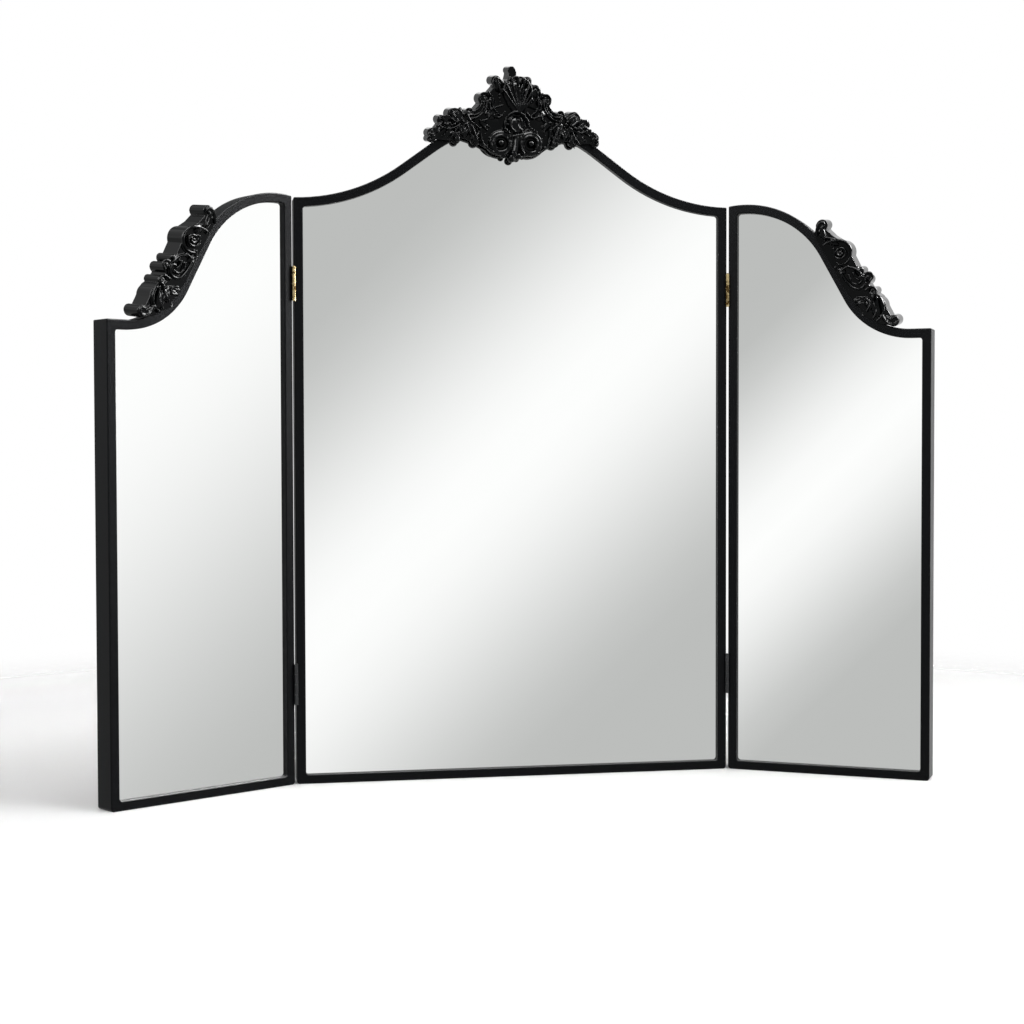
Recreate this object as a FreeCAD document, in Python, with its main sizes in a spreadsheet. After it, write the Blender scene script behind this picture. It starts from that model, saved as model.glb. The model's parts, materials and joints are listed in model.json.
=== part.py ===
"""Trifold vanity mirror: an arched centre panel and two folding wings on four butt hinges.

Frame: X to the viewer's right, Y away from the viewer, Z up, millimetres.  The origin is the
middle of the underside of the centre panel, at half the depth of its frame.

Each panel is a mitred frame of four members with a rebate that holds the mirror glass and a
back board, held by angle clips.  The right wing is modelled and the left wing is its mirror
image.  A wing is drawn flat, with its hinge edge at x = 0, and then turned about the hinge pin.
"""
import FreeCAD, Part
import Sketcher
import math
import os

Vector = FreeCAD.Vector
doc = FreeCAD.newDocument("TrifoldVanityMirror")

# ---------------------------------------------------------------- driving dimensions
SIZES = {
    # frame section, the same on all three panels
    "frame_depth": 33.0,
    "face_width": 12.5,
    "glass_recess": 6.0,
    "lip_width": 4.0,
    "foot_round": 4.5,
    "top_round": 1.5,
    "sight_round": 4.0,
    "edge_round": 1.5,
    # centre panel
    "centre_width": 610.0,
    "centre_shoulder": 798.0,
    "centre_apex": 914.0,
    "centre_crown_radius": 200.0,
    "centre_link_length": 50.4,
    # wing panels
    "wing_width": 283.0,
    "wing_peak": 801.0,
    "wing_peak_offset": 21.0,
    "wing_crown_radius": 137.0,
    "wing_link_length": 70.6,
    "wing_sweep_offset": 28.0,
    "wing_outer_height": 620.0,
    # fold
    "fold_angle": 31.9,
    "panel_gap": 0.8,
    # butt hinges
    "pin_offset": 2.9,
    "pin_radius": 1.3,
    "pin_clearance": 0.05,
    "barrel_radius": 2.7,
    "leaf_thickness": 1.0,
    "leaf_play": 0.4,
    "leaf_depth": 20.0,
    "knuckle_gap": 0.6,
    "pin_head_radius": 1.9,
    "pin_head_height": 0.4,
    "upper_hinge_length": 46.0,
    "upper_hinge_height": 681.0,
    "lower_hinge_length": 55.0,
    "lower_hinge_height": 137.0,
    "mortise_clearance": 0.2,
    # glass and back board
    "glass_thickness": 4.0,
    "board_thickness": 6.0,
    "pane_clearance": 0.5,
    # board clips
    "clip_thickness": 1.0,
    "clip_width": 12.0,
    "clip_reach": 13.0,
    "clip_rise": 8.0,
    # fasteners
    "screw_clearance": 0.1,
    "hinge_screw_radius": 1.25,
    "hinge_screw_head": 2.4,
    "hinge_screw_length": 7.0,
    "clip_screw_radius": 1.25,
    "clip_screw_head": 2.6,
    "clip_screw_head_height": 1.5,
    "clip_screw_length": 6.0,
    "carving_screw_radius": 1.75,
    "carving_screw_head": 3.4,
    "carving_screw_head_height": 2.2,
    "carving_screw_length": 16.0,
    "nail_thickness": 0.6,
    "nail_leg": 5.0,
    "nail_height": 8.0,
    "nail_inset": 2.0,
    "nail_clearance": 0.05,
    # carved mouldings
    "carving_seat": 0.1,
    "crest_proud": 10.0,
    "wing_carving_proud": 4.0,
    "crest_lean": 12.0,
    "wing_carving_lean": 7.0,
    "carving_overrun": 16.0,
    "carving_unit": 1.0,
}

sizes = doc.addObject("Spreadsheet::Sheet", "Sizes")
for row, (alias, number) in enumerate(SIZES.items(), start=1):
    sizes.set(f"A{row}", alias)
    sizes.set(f"B{row}", str(number))
    sizes.setAlias(f"B{row}", alias)
doc.recompute()


def value(expression):
    """The number that an expression on the sheet gives."""
    result = sizes.evalExpression(str(expression))
    return result.Value if hasattr(result, "Value") else float(result)


# ---------------------------------------------------------------- shared expressions
FRONT = "(-Sizes.frame_depth / 2)"
BACK = "(Sizes.frame_depth / 2)"
WALL = "(Sizes.face_width - Sizes.lip_width)"
GLASS_FRONT = f"({FRONT} + Sizes.glass_recess)"
BOARD_FRONT = f"({GLASS_FRONT} + Sizes.glass_thickness)"
BOARD_BACK = f"({BOARD_FRONT} + Sizes.board_thickness)"
PANE_INSET = f"({WALL} + Sizes.pane_clearance)"
MARGIN = "40"

# The head rails are a round crown, a straight link and a hollow sweep, each tangent to the next.
# The sweep's radius is what joins the crown to the shoulder for the given length of link.
CENTRE_RISE = "(Sizes.centre_apex - Sizes.centre_shoulder)"
CENTRE_SWEEP = (f"(((Sizes.centre_width / 2)^2 + {CENTRE_RISE}^2 - Sizes.centre_link_length^2)"
                f" / (2 * {CENTRE_RISE}) - Sizes.centre_crown_radius)")
WING_RUN = "(Sizes.wing_width - Sizes.wing_sweep_offset - Sizes.wing_peak_offset)"
WING_RISE = "(Sizes.wing_peak - Sizes.wing_outer_height)"
WING_SWEEP = (f"(({WING_RUN}^2 + {WING_RISE}^2 - Sizes.wing_link_length^2) / (2 * {WING_RISE})"
              " - Sizes.wing_crown_radius)")

PIN_X = "(Sizes.centre_width / 2 + Sizes.panel_gap / 2)"
PIN_Y = f"({FRONT} - Sizes.pin_offset)"
TURN = "Sizes.fold_angle"
WING_X = f"({PIN_X} + Sizes.panel_gap / 2 * cos({TURN}) - {PIN_Y} * sin({TURN}))"
WING_Y = f"({PIN_Y} - Sizes.panel_gap / 2 * sin({TURN}) - {PIN_Y} * cos({TURN}))"


def bind(thing, **expressions):
    """Bind properties of an object to expressions on the sheet."""
    for path, expression in expressions.items():
        thing.setExpression(path.replace("__", "."), str(expression))
    return thing


def bind_place(thing, x="0", y="0", z="0", axis=None, angle="0", field="Placement"):
    """Place an object by expressions, turned by angle degrees about an axis."""
    if axis is not None:
        setattr(thing, field, FreeCAD.Placement(Vector(), FreeCAD.Rotation(Vector(*axis), 30)))
        thing.setExpression(f"{field}.Rotation.Angle", str(angle))
    for letter, expression in (("x", x), ("y", y), ("z", z)):
        thing.setExpression(f"{field}.Base.{letter}", str(expression))
    return thing


# ---------------------------------------------------------------- sketches
def new_body(name):
    return doc.addObject("PartDesign::Body", name)


def new_sketch(body, name, plane="XZ_Plane", offset="0"):
    """A sketch on one of the body's own origin planes, moved along its normal by offset."""
    sketch = body.newObject("Sketcher::SketchObject", name)
    origin_plane = next(p for p in body.Origin.OriginFeatures if p.Role == plane)
    sketch.AttachmentSupport = [(origin_plane, "")]
    sketch.MapMode = "FlatFace"
    sketch.setExpression("AttachmentOffset.Base.z", str(offset))
    return sketch


def pin(index, axis, expression, point=1):
    """A constraint that holds a point of a curve at a distance from the sketch's origin."""
    kind = "DistanceX" if axis == "x" else "DistanceY"
    return Sketcher.Constraint(kind, -1, 1, index, point, value(expression)), expression


def add_pins(sketch, pins):
    """Add constraints, and bind those that carry an expression to the sheet."""
    first = sketch.ConstraintCount
    sketch.addConstraint([constraint for constraint, _ in pins])
    for offset, (_, expression) in enumerate(pins):
        if expression is not None:
            sketch.setExpression(f"Constraints[{first + offset}]", str(expression))


def polygon(sketch, corners):
    """A closed polygon whose corners are pairs of expressions."""
    points = [Vector(value(x), value(y), 0) for x, y in corners]
    count = len(points)
    first = sketch.GeometryCount
    sketch.addGeometry([Part.LineSegment(points[i], points[(i + 1) % count]) for i in range(count)])
    pins = []
    for i, (x, y) in enumerate(corners):
        following = first + (i + 1) % count
        pins.append((Sketcher.Constraint("Coincident", first + i, 2, following, 1), None))
        pins.append(pin(first + i, "x", x))
        pins.append(pin(first + i, "y", y))
    add_pins(sketch, pins)
    return sketch


def circle(sketch, x, y, radius):
    """A circle whose centre and radius are expressions."""
    index = sketch.GeometryCount
    centre = Vector(value(x), value(y), 0)
    sketch.addGeometry(Part.Circle(centre, Vector(0, 0, 1), value(radius)))
    radius_pin = (Sketcher.Constraint("Radius", index, value(radius)), radius)
    add_pins(sketch, [pin(index, "x", x, 3), pin(index, "y", y, 3), radius_pin])
    return sketch


# A panel outline is walked anticlockwise, with the panel on its left.  Each side is one of
#   ("across", z, way)           a level line, way +1 to the right and -1 to the left
#   ("upright", x, way)          an upright line, way +1 up and -1 down
#   ("arc", x, z, radius, way)   way +1 bulges out of the panel, way -1 sweeps into it;
#                                z None means that the arc is tangent to the side before it
#   ("link",)                    the straight line tangent to the arcs before and after it
# and is followed by the radius of the corner after it, or None for a smooth join.
def line_meets(side, inset, other, other_inset):
    """Centre of the circle that lies inset from both sides, nearest to where they cross."""
    def line(entry, distance):
        along = value(entry[1])
        if entry[0] == "across":
            return "z", along + entry[2] * distance
        return "x", along - entry[2] * distance

    if side[0] == "arc":
        side, inset, other, other_inset = other, other_inset, side, inset
    letter, level = line(side, inset)
    if other[0] != "arc":
        other_level = line(other, other_inset)[1]
        return Vector(level, other_level, 0) if letter == "x" else Vector(other_level, level, 0)
    centre_x, centre_z, radius, way = arc_numbers(other)
    reach = radius - way * other_inset
    if letter == "x":
        rise = math.sqrt(reach ** 2 - (level - centre_x) ** 2)
        return Vector(level, centre_z + way * rise, 0)
    run = math.sqrt(reach ** 2 - (level - centre_z) ** 2)
    return Vector(centre_x + way * run, level, 0)


def arc_numbers(side):
    return value(side[1]), value(side[2]), value(side[3]), side[4]


def foot_on(side, point):
    """The point of a side nearest to a given point."""
    if side[0] == "across":
        return Vector(point.x, value(side[1]), 0)
    if side[0] == "upright":
        return Vector(value(side[1]), point.y, 0)
    centre_x, centre_z, radius, _ = arc_numbers(side)
    centre = Vector(centre_x, centre_z, 0)
    return centre + (point - centre).normalize() * radius


def link_points(before, after):
    """Ends of the line that is tangent to a bulging arc and to a sweeping one."""
    x1, z1, r1, way1 = arc_numbers(before)
    x2, z2, r2, _ = arc_numbers(after)
    start, end = Vector(x1, z1, 0), Vector(x2, z2, 0)
    span = end - start
    lean = math.atan2(span.y, span.x) - way1 * math.acos((r1 + r2) / span.Length)
    normal = Vector(math.cos(lean), math.sin(lean), 0)
    return start + normal * r1, end - normal * r2


def outline(sketch, sides):
    """Draw a closed outline from (side, corner radius) pairs and bind it to the sheet."""
    count = len(sides)
    ends = {}
    fillets = {}
    for i, (side, corner) in enumerate(sides):
        j = (i + 1) % count
        following = sides[j][0]
        if following[0] == "link":
            ends[i, "end"], ends[j, "start"] = (link_points(side, sides[(j + 1) % count][0])[0],) * 2
        elif side[0] == "link":
            before = sides[i - 1][0]
            ends[i, "end"], ends[j, "start"] = (link_points(before, following)[1],) * 2
        elif corner is None:
            arc = side if side[0] == "arc" else following
            level = following if side[0] == "arc" else side
            touch = foot_on(level, Vector(value(arc[1]), value(level[1]), 0))
            ends[i, "end"], ends[j, "start"] = touch, touch
        else:
            radius = value(corner)
            middle = line_meets(side, radius, following, radius)
            fillets[i] = middle
            ends[i, "end"] = foot_on(side, middle)
            ends[j, "start"] = foot_on(following, middle)

    def draw_arc(centre, radius, start, end, way):
        first, last = (start, end) if way > 0 else (end, start)
        angles = [math.atan2(p.y - centre.y, p.x - centre.x) for p in (first, last)]
        if angles[1] < angles[0]:
            angles[1] += 2 * math.pi
        index = sketch.addGeometry(Part.ArcOfCircle(Part.Circle(centre, Vector(0, 0, 1), radius), *angles))
        return (index, 1, 2) if way > 0 else (index, 2, 1)

    chain = []
    pins = []
    for i, (side, corner) in enumerate(sides):
        start, end = ends[i, "start"], ends[i, "end"]
        if side[0] == "arc":
            centre_x, centre_z, radius, way = arc_numbers(side)
            place = draw_arc(Vector(centre_x, centre_z, 0), radius, start, end, way)
            pins.append(pin(place[0], "x", side[1], 3))
            if not (sides[i - 1][1] is None and sides[i - 1][0][0] == "across"):
                pins.append(pin(place[0], "y", side[2], 3))
            pins.append((Sketcher.Constraint("Radius", place[0], radius), side[3]))
        else:
            place = (sketch.addGeometry(Part.LineSegment(start, end)), 1, 2)
            if side[0] == "across":
                pins.append((Sketcher.Constraint("Horizontal", place[0]), None))
                pins.append(pin(place[0], "y", side[1]))
            elif side[0] == "upright":
                pins.append((Sketcher.Constraint("Vertical", place[0]), None))
                pins.append(pin(place[0], "x", side[1]))
        chain.append(place)
        if i in fillets:
            following_start = ends[(i + 1) % count, "start"]
            place = draw_arc(fillets[i], value(corner), end, following_start, 1)
            pins.append((Sketcher.Constraint("Radius", place[0], value(corner)), corner))
            chain.append(place)
    for place, following in zip(chain, chain[1:] + chain[:1]):
        joint = Sketcher.Constraint("Tangent", place[0], place[2], following[0], following[1])
        pins.append((joint, None))
    add_pins(sketch, pins)
    return sketch


def centre_outline(sketch, inset, foot_corner, top_corner):
    """The centre panel's outline, moved inwards by inset: ogee shoulders and a round crown."""
    right = f"Sizes.centre_width / 2 - ({inset})"
    sweep_z = f"Sizes.centre_shoulder + {CENTRE_SWEEP}"
    sweep_radius = f"{CENTRE_SWEEP} + ({inset})"
    crown_z = "Sizes.centre_apex - Sizes.centre_crown_radius"
    crown_radius = f"Sizes.centre_crown_radius - ({inset})"
    sides = [
        (("across", inset, 1), foot_corner),
        (("upright", right, 1), top_corner),
        (("arc", "Sizes.centre_width / 2", sweep_z, sweep_radius, -1), None),
        (("link",), None),
        (("arc", "0", crown_z, crown_radius, 1), None),
        (("link",), None),
        (("arc", "-Sizes.centre_width / 2", sweep_z, sweep_radius, -1), top_corner),
        (("upright", f"-({right})", -1), foot_corner),
    ]
    return outline(sketch, sides)


def wing_outline(sketch, inset, foot_corner, top_corner):
    """The right wing's outline, moved inwards by inset: an S falling to a low outer corner."""
    sweep_z = f"Sizes.wing_outer_height + {WING_SWEEP}"
    sides = [
        (("across", inset, 1), foot_corner),
        (("upright", f"Sizes.wing_width - ({inset})", 1), top_corner),
        (("across", f"Sizes.wing_outer_height - ({inset})", -1), None),
        (("arc", "Sizes.wing_width - Sizes.wing_sweep_offset", sweep_z,
          f"{WING_SWEEP} + ({inset})", -1), None),
        (("link",), None),
        (("arc", "Sizes.wing_peak_offset", "Sizes.wing_peak - Sizes.wing_crown_radius",
          f"Sizes.wing_crown_radius - ({inset})", 1), top_corner),
        (("upright", inset, -1), foot_corner),
    ]
    return outline(sketch, sides)


# ---------------------------------------------------------------- solids
def pad(body, sketch, length, name="Pad"):
    """Pad a sketch along its normal."""
    feature = body.newObject("PartDesign::Pad", name)
    feature.Profile = sketch
    feature.setExpression("Length", str(length))
    body.Tip = feature
    doc.recompute()
    return feature


def pocket(body, sketch, length, name="Pocket"):
    """Cut a sketch out of the body along its normal, and check that it cuts."""
    before = body.Shape.Volume
    feature = body.newObject("PartDesign::Pocket", name)
    feature.Profile = sketch
    feature.Reversed = True
    feature.setExpression("Length", str(length))
    body.Tip = feature
    doc.recompute()
    if body.Shape.Volume >= before:
        raise RuntimeError(f"{name} in {body.Label} cuts nothing")
    return feature


def slab(name, draw, inset, corner, back, thickness):
    """A flat plate with a panel's outline, from its back face forwards."""
    body = new_body(name)
    sketch = new_sketch(body, f"{name}_outline", offset=f"-({back})")
    draw(sketch, inset, corner, corner)
    pad(body, sketch, thickness)
    return body


def boolean(kind, name, base, tool):
    feature = doc.addObject(f"Part::{kind}", name)
    feature.Base = base
    feature.Tool = tool
    return feature


def fuse(name, shapes):
    feature = doc.addObject("Part::MultiFuse", name)
    feature.Shapes = shapes
    return feature


def merge(name, pieces):
    """Join pieces one after another, so that each joint is worked out on its own."""
    joined = pieces[0]
    for number, piece in enumerate(pieces[1:], start=1):
        joined = boolean("Fuse", f"{name}_{number}", joined, piece)
        joined.Refine = False
    return joined


def group(name, pieces):
    """One node that holds several separate solids."""
    feature = doc.addObject("Part::Compound", name)
    feature.Links = pieces
    return feature


def mirror_left(name, source):
    """The mirror image of a placed piece in the plane x = 0."""
    feature = doc.addObject("Part::Mirroring", name)
    feature.Source = source
    feature.Base = (0, 0, 0)
    feature.Normal = (1, 0, 0)
    return feature


def copy_at(source, name, spot):
    """A linked copy at a spot (x, y, z, turn about Y)."""
    link = doc.addObject("App::Link", name)
    link.LinkedObject = source
    x, y, z, turn = spot
    return bind_place(link, x, y, z, (0, 1, 0), turn, "LinkPlacement")


def copies(source, name, spots):
    return [copy_at(source, f"{name}_{number}", spot) for number, spot in enumerate(spots, start=1)]


def frame_blank(name, draw):
    """A panel's whole frame as one ring: outline, opening, rebate and eased front edges."""
    body = new_body(name)
    back = f"-{BACK}"
    rim = draw(new_sketch(body, f"{name}_rim", offset=back), "0", "Sizes.foot_round", "Sizes.top_round")
    pad(body, rim, "Sizes.frame_depth")
    sight = draw(new_sketch(body, f"{name}_sight", offset=back), "Sizes.face_width",
                 "Sizes.sight_round", "Sizes.sight_round")
    pocket(body, sight, "Sizes.frame_depth", "Sight")
    rebate = draw(new_sketch(body, f"{name}_rebate", offset=back), WALL,
                  "Sizes.sight_round", "Sizes.sight_round")
    pocket(body, rebate, "Sizes.frame_depth - Sizes.glass_recess", "Rebate")
    front = value(FRONT)
    edges = []
    for number, edge in enumerate(body.Tip.Shape.Edges, start=1):
        if all(abs(vertex.Y - front) < 1e-6 for vertex in edge.Vertexes):
            edges.append(f"Edge{number}")
    square = body.Tip
    eased = body.newObject("PartDesign::Fillet", "EasedEdges")
    eased.Base = (square, edges)
    eased.setExpression("Radius", "Sizes.edge_round")
    body.Tip = eased
    doc.recompute()
    return body


def region(name, corners):
    """A tall prism over one member of a frame, bounded by the mitre lines."""
    body = new_body(name)
    sketch = polygon(new_sketch(body, f"{name}_plan", offset=f"-{MARGIN}"), corners)
    pad(body, sketch, f"2 * {MARGIN}")
    return body


def split_frame(prefix, blank, left, right, left_top, right_top, peak, names):
    """Saw the ring into foot rail, left stile, right stile and head rail along its mitres."""
    deep = "2 * Sizes.face_width"
    outer_left, outer_right = f"{left} - {MARGIN}", f"{right} + {MARGIN}"
    inner_left, inner_right = f"{left} + {deep}", f"{right} - {deep}"
    middle = f"({right_top}) / 2"
    plans = [
        [(outer_left, f"-{MARGIN}"), (outer_right, f"-{MARGIN}"), (inner_right, deep), (inner_left, deep)],
        [(outer_left, f"-{MARGIN}"), (inner_left, deep), (inner_left, f"{left_top} - {deep}"),
         (outer_left, f"{left_top} + {MARGIN}")],
        [(outer_right, f"{right_top} + {MARGIN}"), (inner_right, f"{right_top} - {deep}"),
         (inner_right, deep), (outer_right, f"-{MARGIN}")],
        [(outer_left, f"{left_top} + {MARGIN}"), (inner_left, f"{left_top} - {deep}"),
         (inner_left, middle), (inner_right, middle), (inner_right, f"{right_top} - {deep}"),
         (outer_right, f"{right_top} + {MARGIN}"), (outer_right, f"{peak} + 2 * {MARGIN}"),
         (outer_left, f"{peak} + 2 * {MARGIN}")],
    ]
    members = []
    for name, plan in zip(names, plans):
        members.append(boolean("Common", f"{prefix}_{name}", blank, region(f"{prefix}_{name}_zone", plan)))
    return members


# ---------------------------------------------------------------- fasteners
def turned_pin(name, points):
    """A solid turned about its own X axis from a half profile."""
    body = new_body(name)
    sketch = polygon(new_sketch(body, f"{name}_profile", "XY_Plane"), points)
    turned = body.newObject("PartDesign::Revolution", "Turned")
    turned.Profile = sketch
    turned.ReferenceAxis = (sketch, ["H_Axis"])
    turned.Angle = 360
    body.Tip = turned
    doc.recompute()
    return body


def countersunk(name, head, shank, sink, length):
    """A countersunk screw: its head's face is at x = 0 and it points along +X."""
    tip = f"({length}) - ({shank})"
    return turned_pin(name, [("0", "0"), ("0", head), (sink, shank), (tip, shank), (length, "0")])


def pan_head(name, head, rise, shank, length):
    """A pan-head screw: the underside of its head is at x = 0 and it points along +X."""
    tip = f"({length}) - ({shank})"
    return turned_pin(name, [(f"-({rise})", "0"), (f"-({rise})", f"0.6 * ({head})"), (f"-0.3 * ({rise})", head),
                             ("0", head), ("0", shank), (tip, shank), (length, "0")])


def drill(name, radius, length):
    """A round cutter along +X for the pilot hole of a screw."""
    bored = f"({radius}) + Sizes.screw_clearance"
    reach = f"({length}) + Sizes.screw_clearance"
    return turned_pin(name, [("-1", "0"), ("-1", bored), (reach, bored), (reach, "0")])


def v_nail(name, clearance):
    """A nail of angled sheet steel that is driven across a mitre from behind."""
    body = new_body(name)
    near = f"Sizes.nail_inset - {clearance}"
    far = f"Sizes.nail_inset + Sizes.nail_leg + {clearance}"
    inside = f"Sizes.nail_inset + Sizes.nail_thickness + {clearance}"
    sketch = polygon(new_sketch(body, f"{name}_plan", offset=f"-{BACK}"),
                     [(near, near), (far, near), (far, inside), (inside, inside), (inside, far), (near, far)])
    pad(body, sketch, f"Sizes.nail_height + {clearance}")
    return body


hinge_screw = countersunk("hinge_screw", "Sizes.hinge_screw_head", "Sizes.hinge_screw_radius",
                          "Sizes.leaf_thickness", "Sizes.hinge_screw_length")
hinge_pilot = drill("hinge_pilot", "Sizes.hinge_screw_radius", "Sizes.hinge_screw_length")
clip_screw = pan_head("clip_screw", "Sizes.clip_screw_head", "Sizes.clip_screw_head_height",
                      "Sizes.clip_screw_radius", "Sizes.clip_screw_length")
clip_pilot = drill("clip_pilot", "Sizes.clip_screw_radius", "Sizes.clip_screw_length")
carving_screw = pan_head("carving_screw", "Sizes.carving_screw_head", "Sizes.carving_screw_head_height",
                         "Sizes.carving_screw_radius", "Sizes.carving_screw_length")
carving_pilot = drill("carving_pilot", "Sizes.carving_screw_radius", "Sizes.carving_screw_length")
nail = v_nail("nail", "0")
nail_slot = v_nail("nail_slot", "Sizes.nail_clearance")

clip = new_body("clip")
clip_profile = polygon(new_sketch(clip, "clip_profile", "XY_Plane", "-Sizes.clip_width / 2"), [
    ("0", "0"), ("Sizes.clip_reach", "0"), ("Sizes.clip_reach", "Sizes.clip_thickness"),
    ("Sizes.clip_thickness", "Sizes.clip_thickness"), ("Sizes.clip_thickness", "Sizes.clip_rise"),
    ("0", "Sizes.clip_rise")])
pad(clip, clip_profile, "Sizes.clip_width")
clip_hole = circle(new_sketch(clip, "clip_hole", "YZ_Plane", "0"), "(Sizes.clip_rise + Sizes.clip_thickness) / 2",
                   "0", "Sizes.clip_screw_radius + Sizes.screw_clearance")
pocket(clip, clip_hole, "Sizes.clip_thickness", "ScrewHole")


def clip_spots(stations):
    """Where clips stand: (x, z, turn) of the rebate wall, on the back of the board."""
    return [(x, BOARD_BACK, z, turn) for x, z, turn in stations]


def clip_screw_spots(stations):
    """Screws through the clips into the rebate wall, pointing out of the panel."""
    height = f"{BOARD_BACK} + (Sizes.clip_rise + Sizes.clip_thickness) / 2"
    spots = []
    for x, z, turn in stations:
        inward = "Sizes.clip_thickness"
        spots.append((f"{x} + {inward} * cos({turn})", height, f"{z} - {inward} * sin({turn})", f"({turn}) + 180"))
    return spots


# ---------------------------------------------------------------- centre panel
def carving_spots(crown_x, crown_z, radius, leans):
    """Screws through the rebate wall of a curved or straight rail, square to it."""
    height = f"{BACK} - 7"
    spots = []
    for along, lean in leans:
        x = f"{crown_x} + ({radius}) * cos({lean}) + ({along}) * sin({lean})"
        z = f"{crown_z} + ({radius}) * sin({lean}) - ({along}) * cos({lean})"
        spots.append((x, height, z, f"-({lean})"))
    return spots


centre_wall = f"(Sizes.centre_width / 2 - {WALL})"
centre_stations = [("-Sizes.centre_width / 4", WALL, "-90"), ("Sizes.centre_width / 4", WALL, "-90")]
for share in ("0.2", "0.5", "0.8"):
    centre_stations.append((f"-{centre_wall}", f"{share} * Sizes.centre_shoulder", "0"))
    centre_stations.append((centre_wall, f"{share} * Sizes.centre_shoulder", "180"))
CROWN_WALL = f"(Sizes.centre_crown_radius - {WALL})"
CROWN_CENTRE = "(Sizes.centre_apex - Sizes.centre_crown_radius)"
clip_chord = f"sqrt({CROWN_WALL}^2 - (Sizes.clip_width / 2)^2)"
centre_stations.append(("0", f"{CROWN_CENTRE} + {clip_chord}", "90"))

screw_chord = f"sqrt({CROWN_WALL}^2 - Sizes.carving_screw_head^2)"
crest_leans = [("0", "78"), ("0", "102")]
crest_screw_spots = carving_spots("0", CROWN_CENTRE, screw_chord, crest_leans)

centre_half = "(Sizes.centre_width / 2)"
centre_corners = [(f"-{centre_half}", "0", "0", "0"), (centre_half, "0", "0", "-90"),
                  (centre_half, "0", "Sizes.centre_shoulder", "180"),
                  (f"-{centre_half}", "0", "Sizes.centre_shoulder", "90")]

hinge_heights = {
    "upper": ("Sizes.upper_hinge_height", "Sizes.upper_hinge_length"),
    "lower": ("Sizes.lower_hinge_height", "Sizes.lower_hinge_length"),
}
SCREW_DEPTH = "(Sizes.barrel_radius + Sizes.leaf_depth) / 2"


def hinge_screw_spots(height, length, side):
    """Three screws up a leaf, seen from the pin: side +1 is the wing's leaf, -1 the centre's."""
    turn = "0" if side > 0 else "180"
    spots = []
    for share in ("-1 / 3", "0", "1 / 3"):
        spots.append((f"{side} * Sizes.leaf_play / 2", SCREW_DEPTH, f"{height} + ({share}) * {length}", turn))
    return spots


def on_panel_edge(spots, edge_x):
    """The same spots seen from a panel whose hinge pin stands at edge_x."""
    return [(f"{edge_x} + {x}", f"{PIN_Y} + {y}", z, turn) for x, y, z, turn in spots]


MORTISE_DEPTH = "(Sizes.leaf_thickness + Sizes.leaf_play / 2 - Sizes.panel_gap / 2)"


def mortise(name, edge_x, side, height, length):
    """Cutter for the shallow seat of a hinge leaf, open at the front of the stile."""
    box = doc.addObject("Part::Box", name)
    bind(box, Length=f"2 * {MORTISE_DEPTH}",
         Width="Sizes.leaf_depth - Sizes.pin_offset + Sizes.mortise_clearance + 5",
         Height=f"{length} + 2 * Sizes.mortise_clearance")
    return bind_place(box, f"{edge_x} - {MORTISE_DEPTH}", f"{FRONT} - 5",
                      f"{height} - {length} / 2 - Sizes.mortise_clearance")


centre_cutters = copies(clip_pilot, "centre_clip_pilot", clip_screw_spots(centre_stations))
centre_cutters += copies(carving_pilot, "centre_crest_pilot", crest_screw_spots)
centre_cutters += copies(nail_slot, "centre_nail_slot", centre_corners)
for level, (height, length) in hinge_heights.items():
    right_spots = on_panel_edge(hinge_screw_spots(height, length, -1), PIN_X)
    left_spots = [(f"-({x})", y, z, "0") for x, y, z, turn in right_spots]
    centre_cutters += copies(hinge_pilot, f"centre_{level}_right_pilot", right_spots)
    centre_cutters += copies(hinge_pilot, f"centre_{level}_left_pilot", left_spots)
    centre_cutters.append(mortise(f"centre_{level}_right_mortise", centre_half, -1, height, length))
    centre_cutters.append(mortise(f"centre_{level}_left_mortise", f"-{centre_half}", 1, height, length))

centre_ring = boolean("Cut", "centre_ring", frame_blank("centre_blank", centre_outline),
                      fuse("centre_cutters", centre_cutters))
centre_members = split_frame("centre", centre_ring, f"-{centre_half}", centre_half, "Sizes.centre_shoulder",
                             "Sizes.centre_shoulder", "Sizes.centre_apex",
                             ("foot_rail", "left_stile", "right_stile", "head_rail"))

centre_glass = slab("centre_mirror_glass", centre_outline, PANE_INSET, "Sizes.sight_round", BOARD_FRONT,
                    "Sizes.glass_thickness")
centre_board = slab("centre_back_board", centre_outline, PANE_INSET, "Sizes.sight_round", BOARD_BACK,
                    "Sizes.board_thickness")
centre_clips = group("centre_board_clips", copies(clip, "centre_clip", clip_spots(centre_stations)))
centre_clip_screws = group("centre_clip_screws",
                           copies(clip_screw, "centre_clip_screw", clip_screw_spots(centre_stations)))
centre_nails = group("centre_mitre_nails", copies(nail, "centre_nail", centre_corners))
crest_screws = group("crest_screws", copies(carving_screw, "crest_screw", crest_screw_spots))
centre_nodes = centre_members + [centre_glass, centre_board, centre_clips, centre_clip_screws,
                                 centre_nails, crest_screws]

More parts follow.
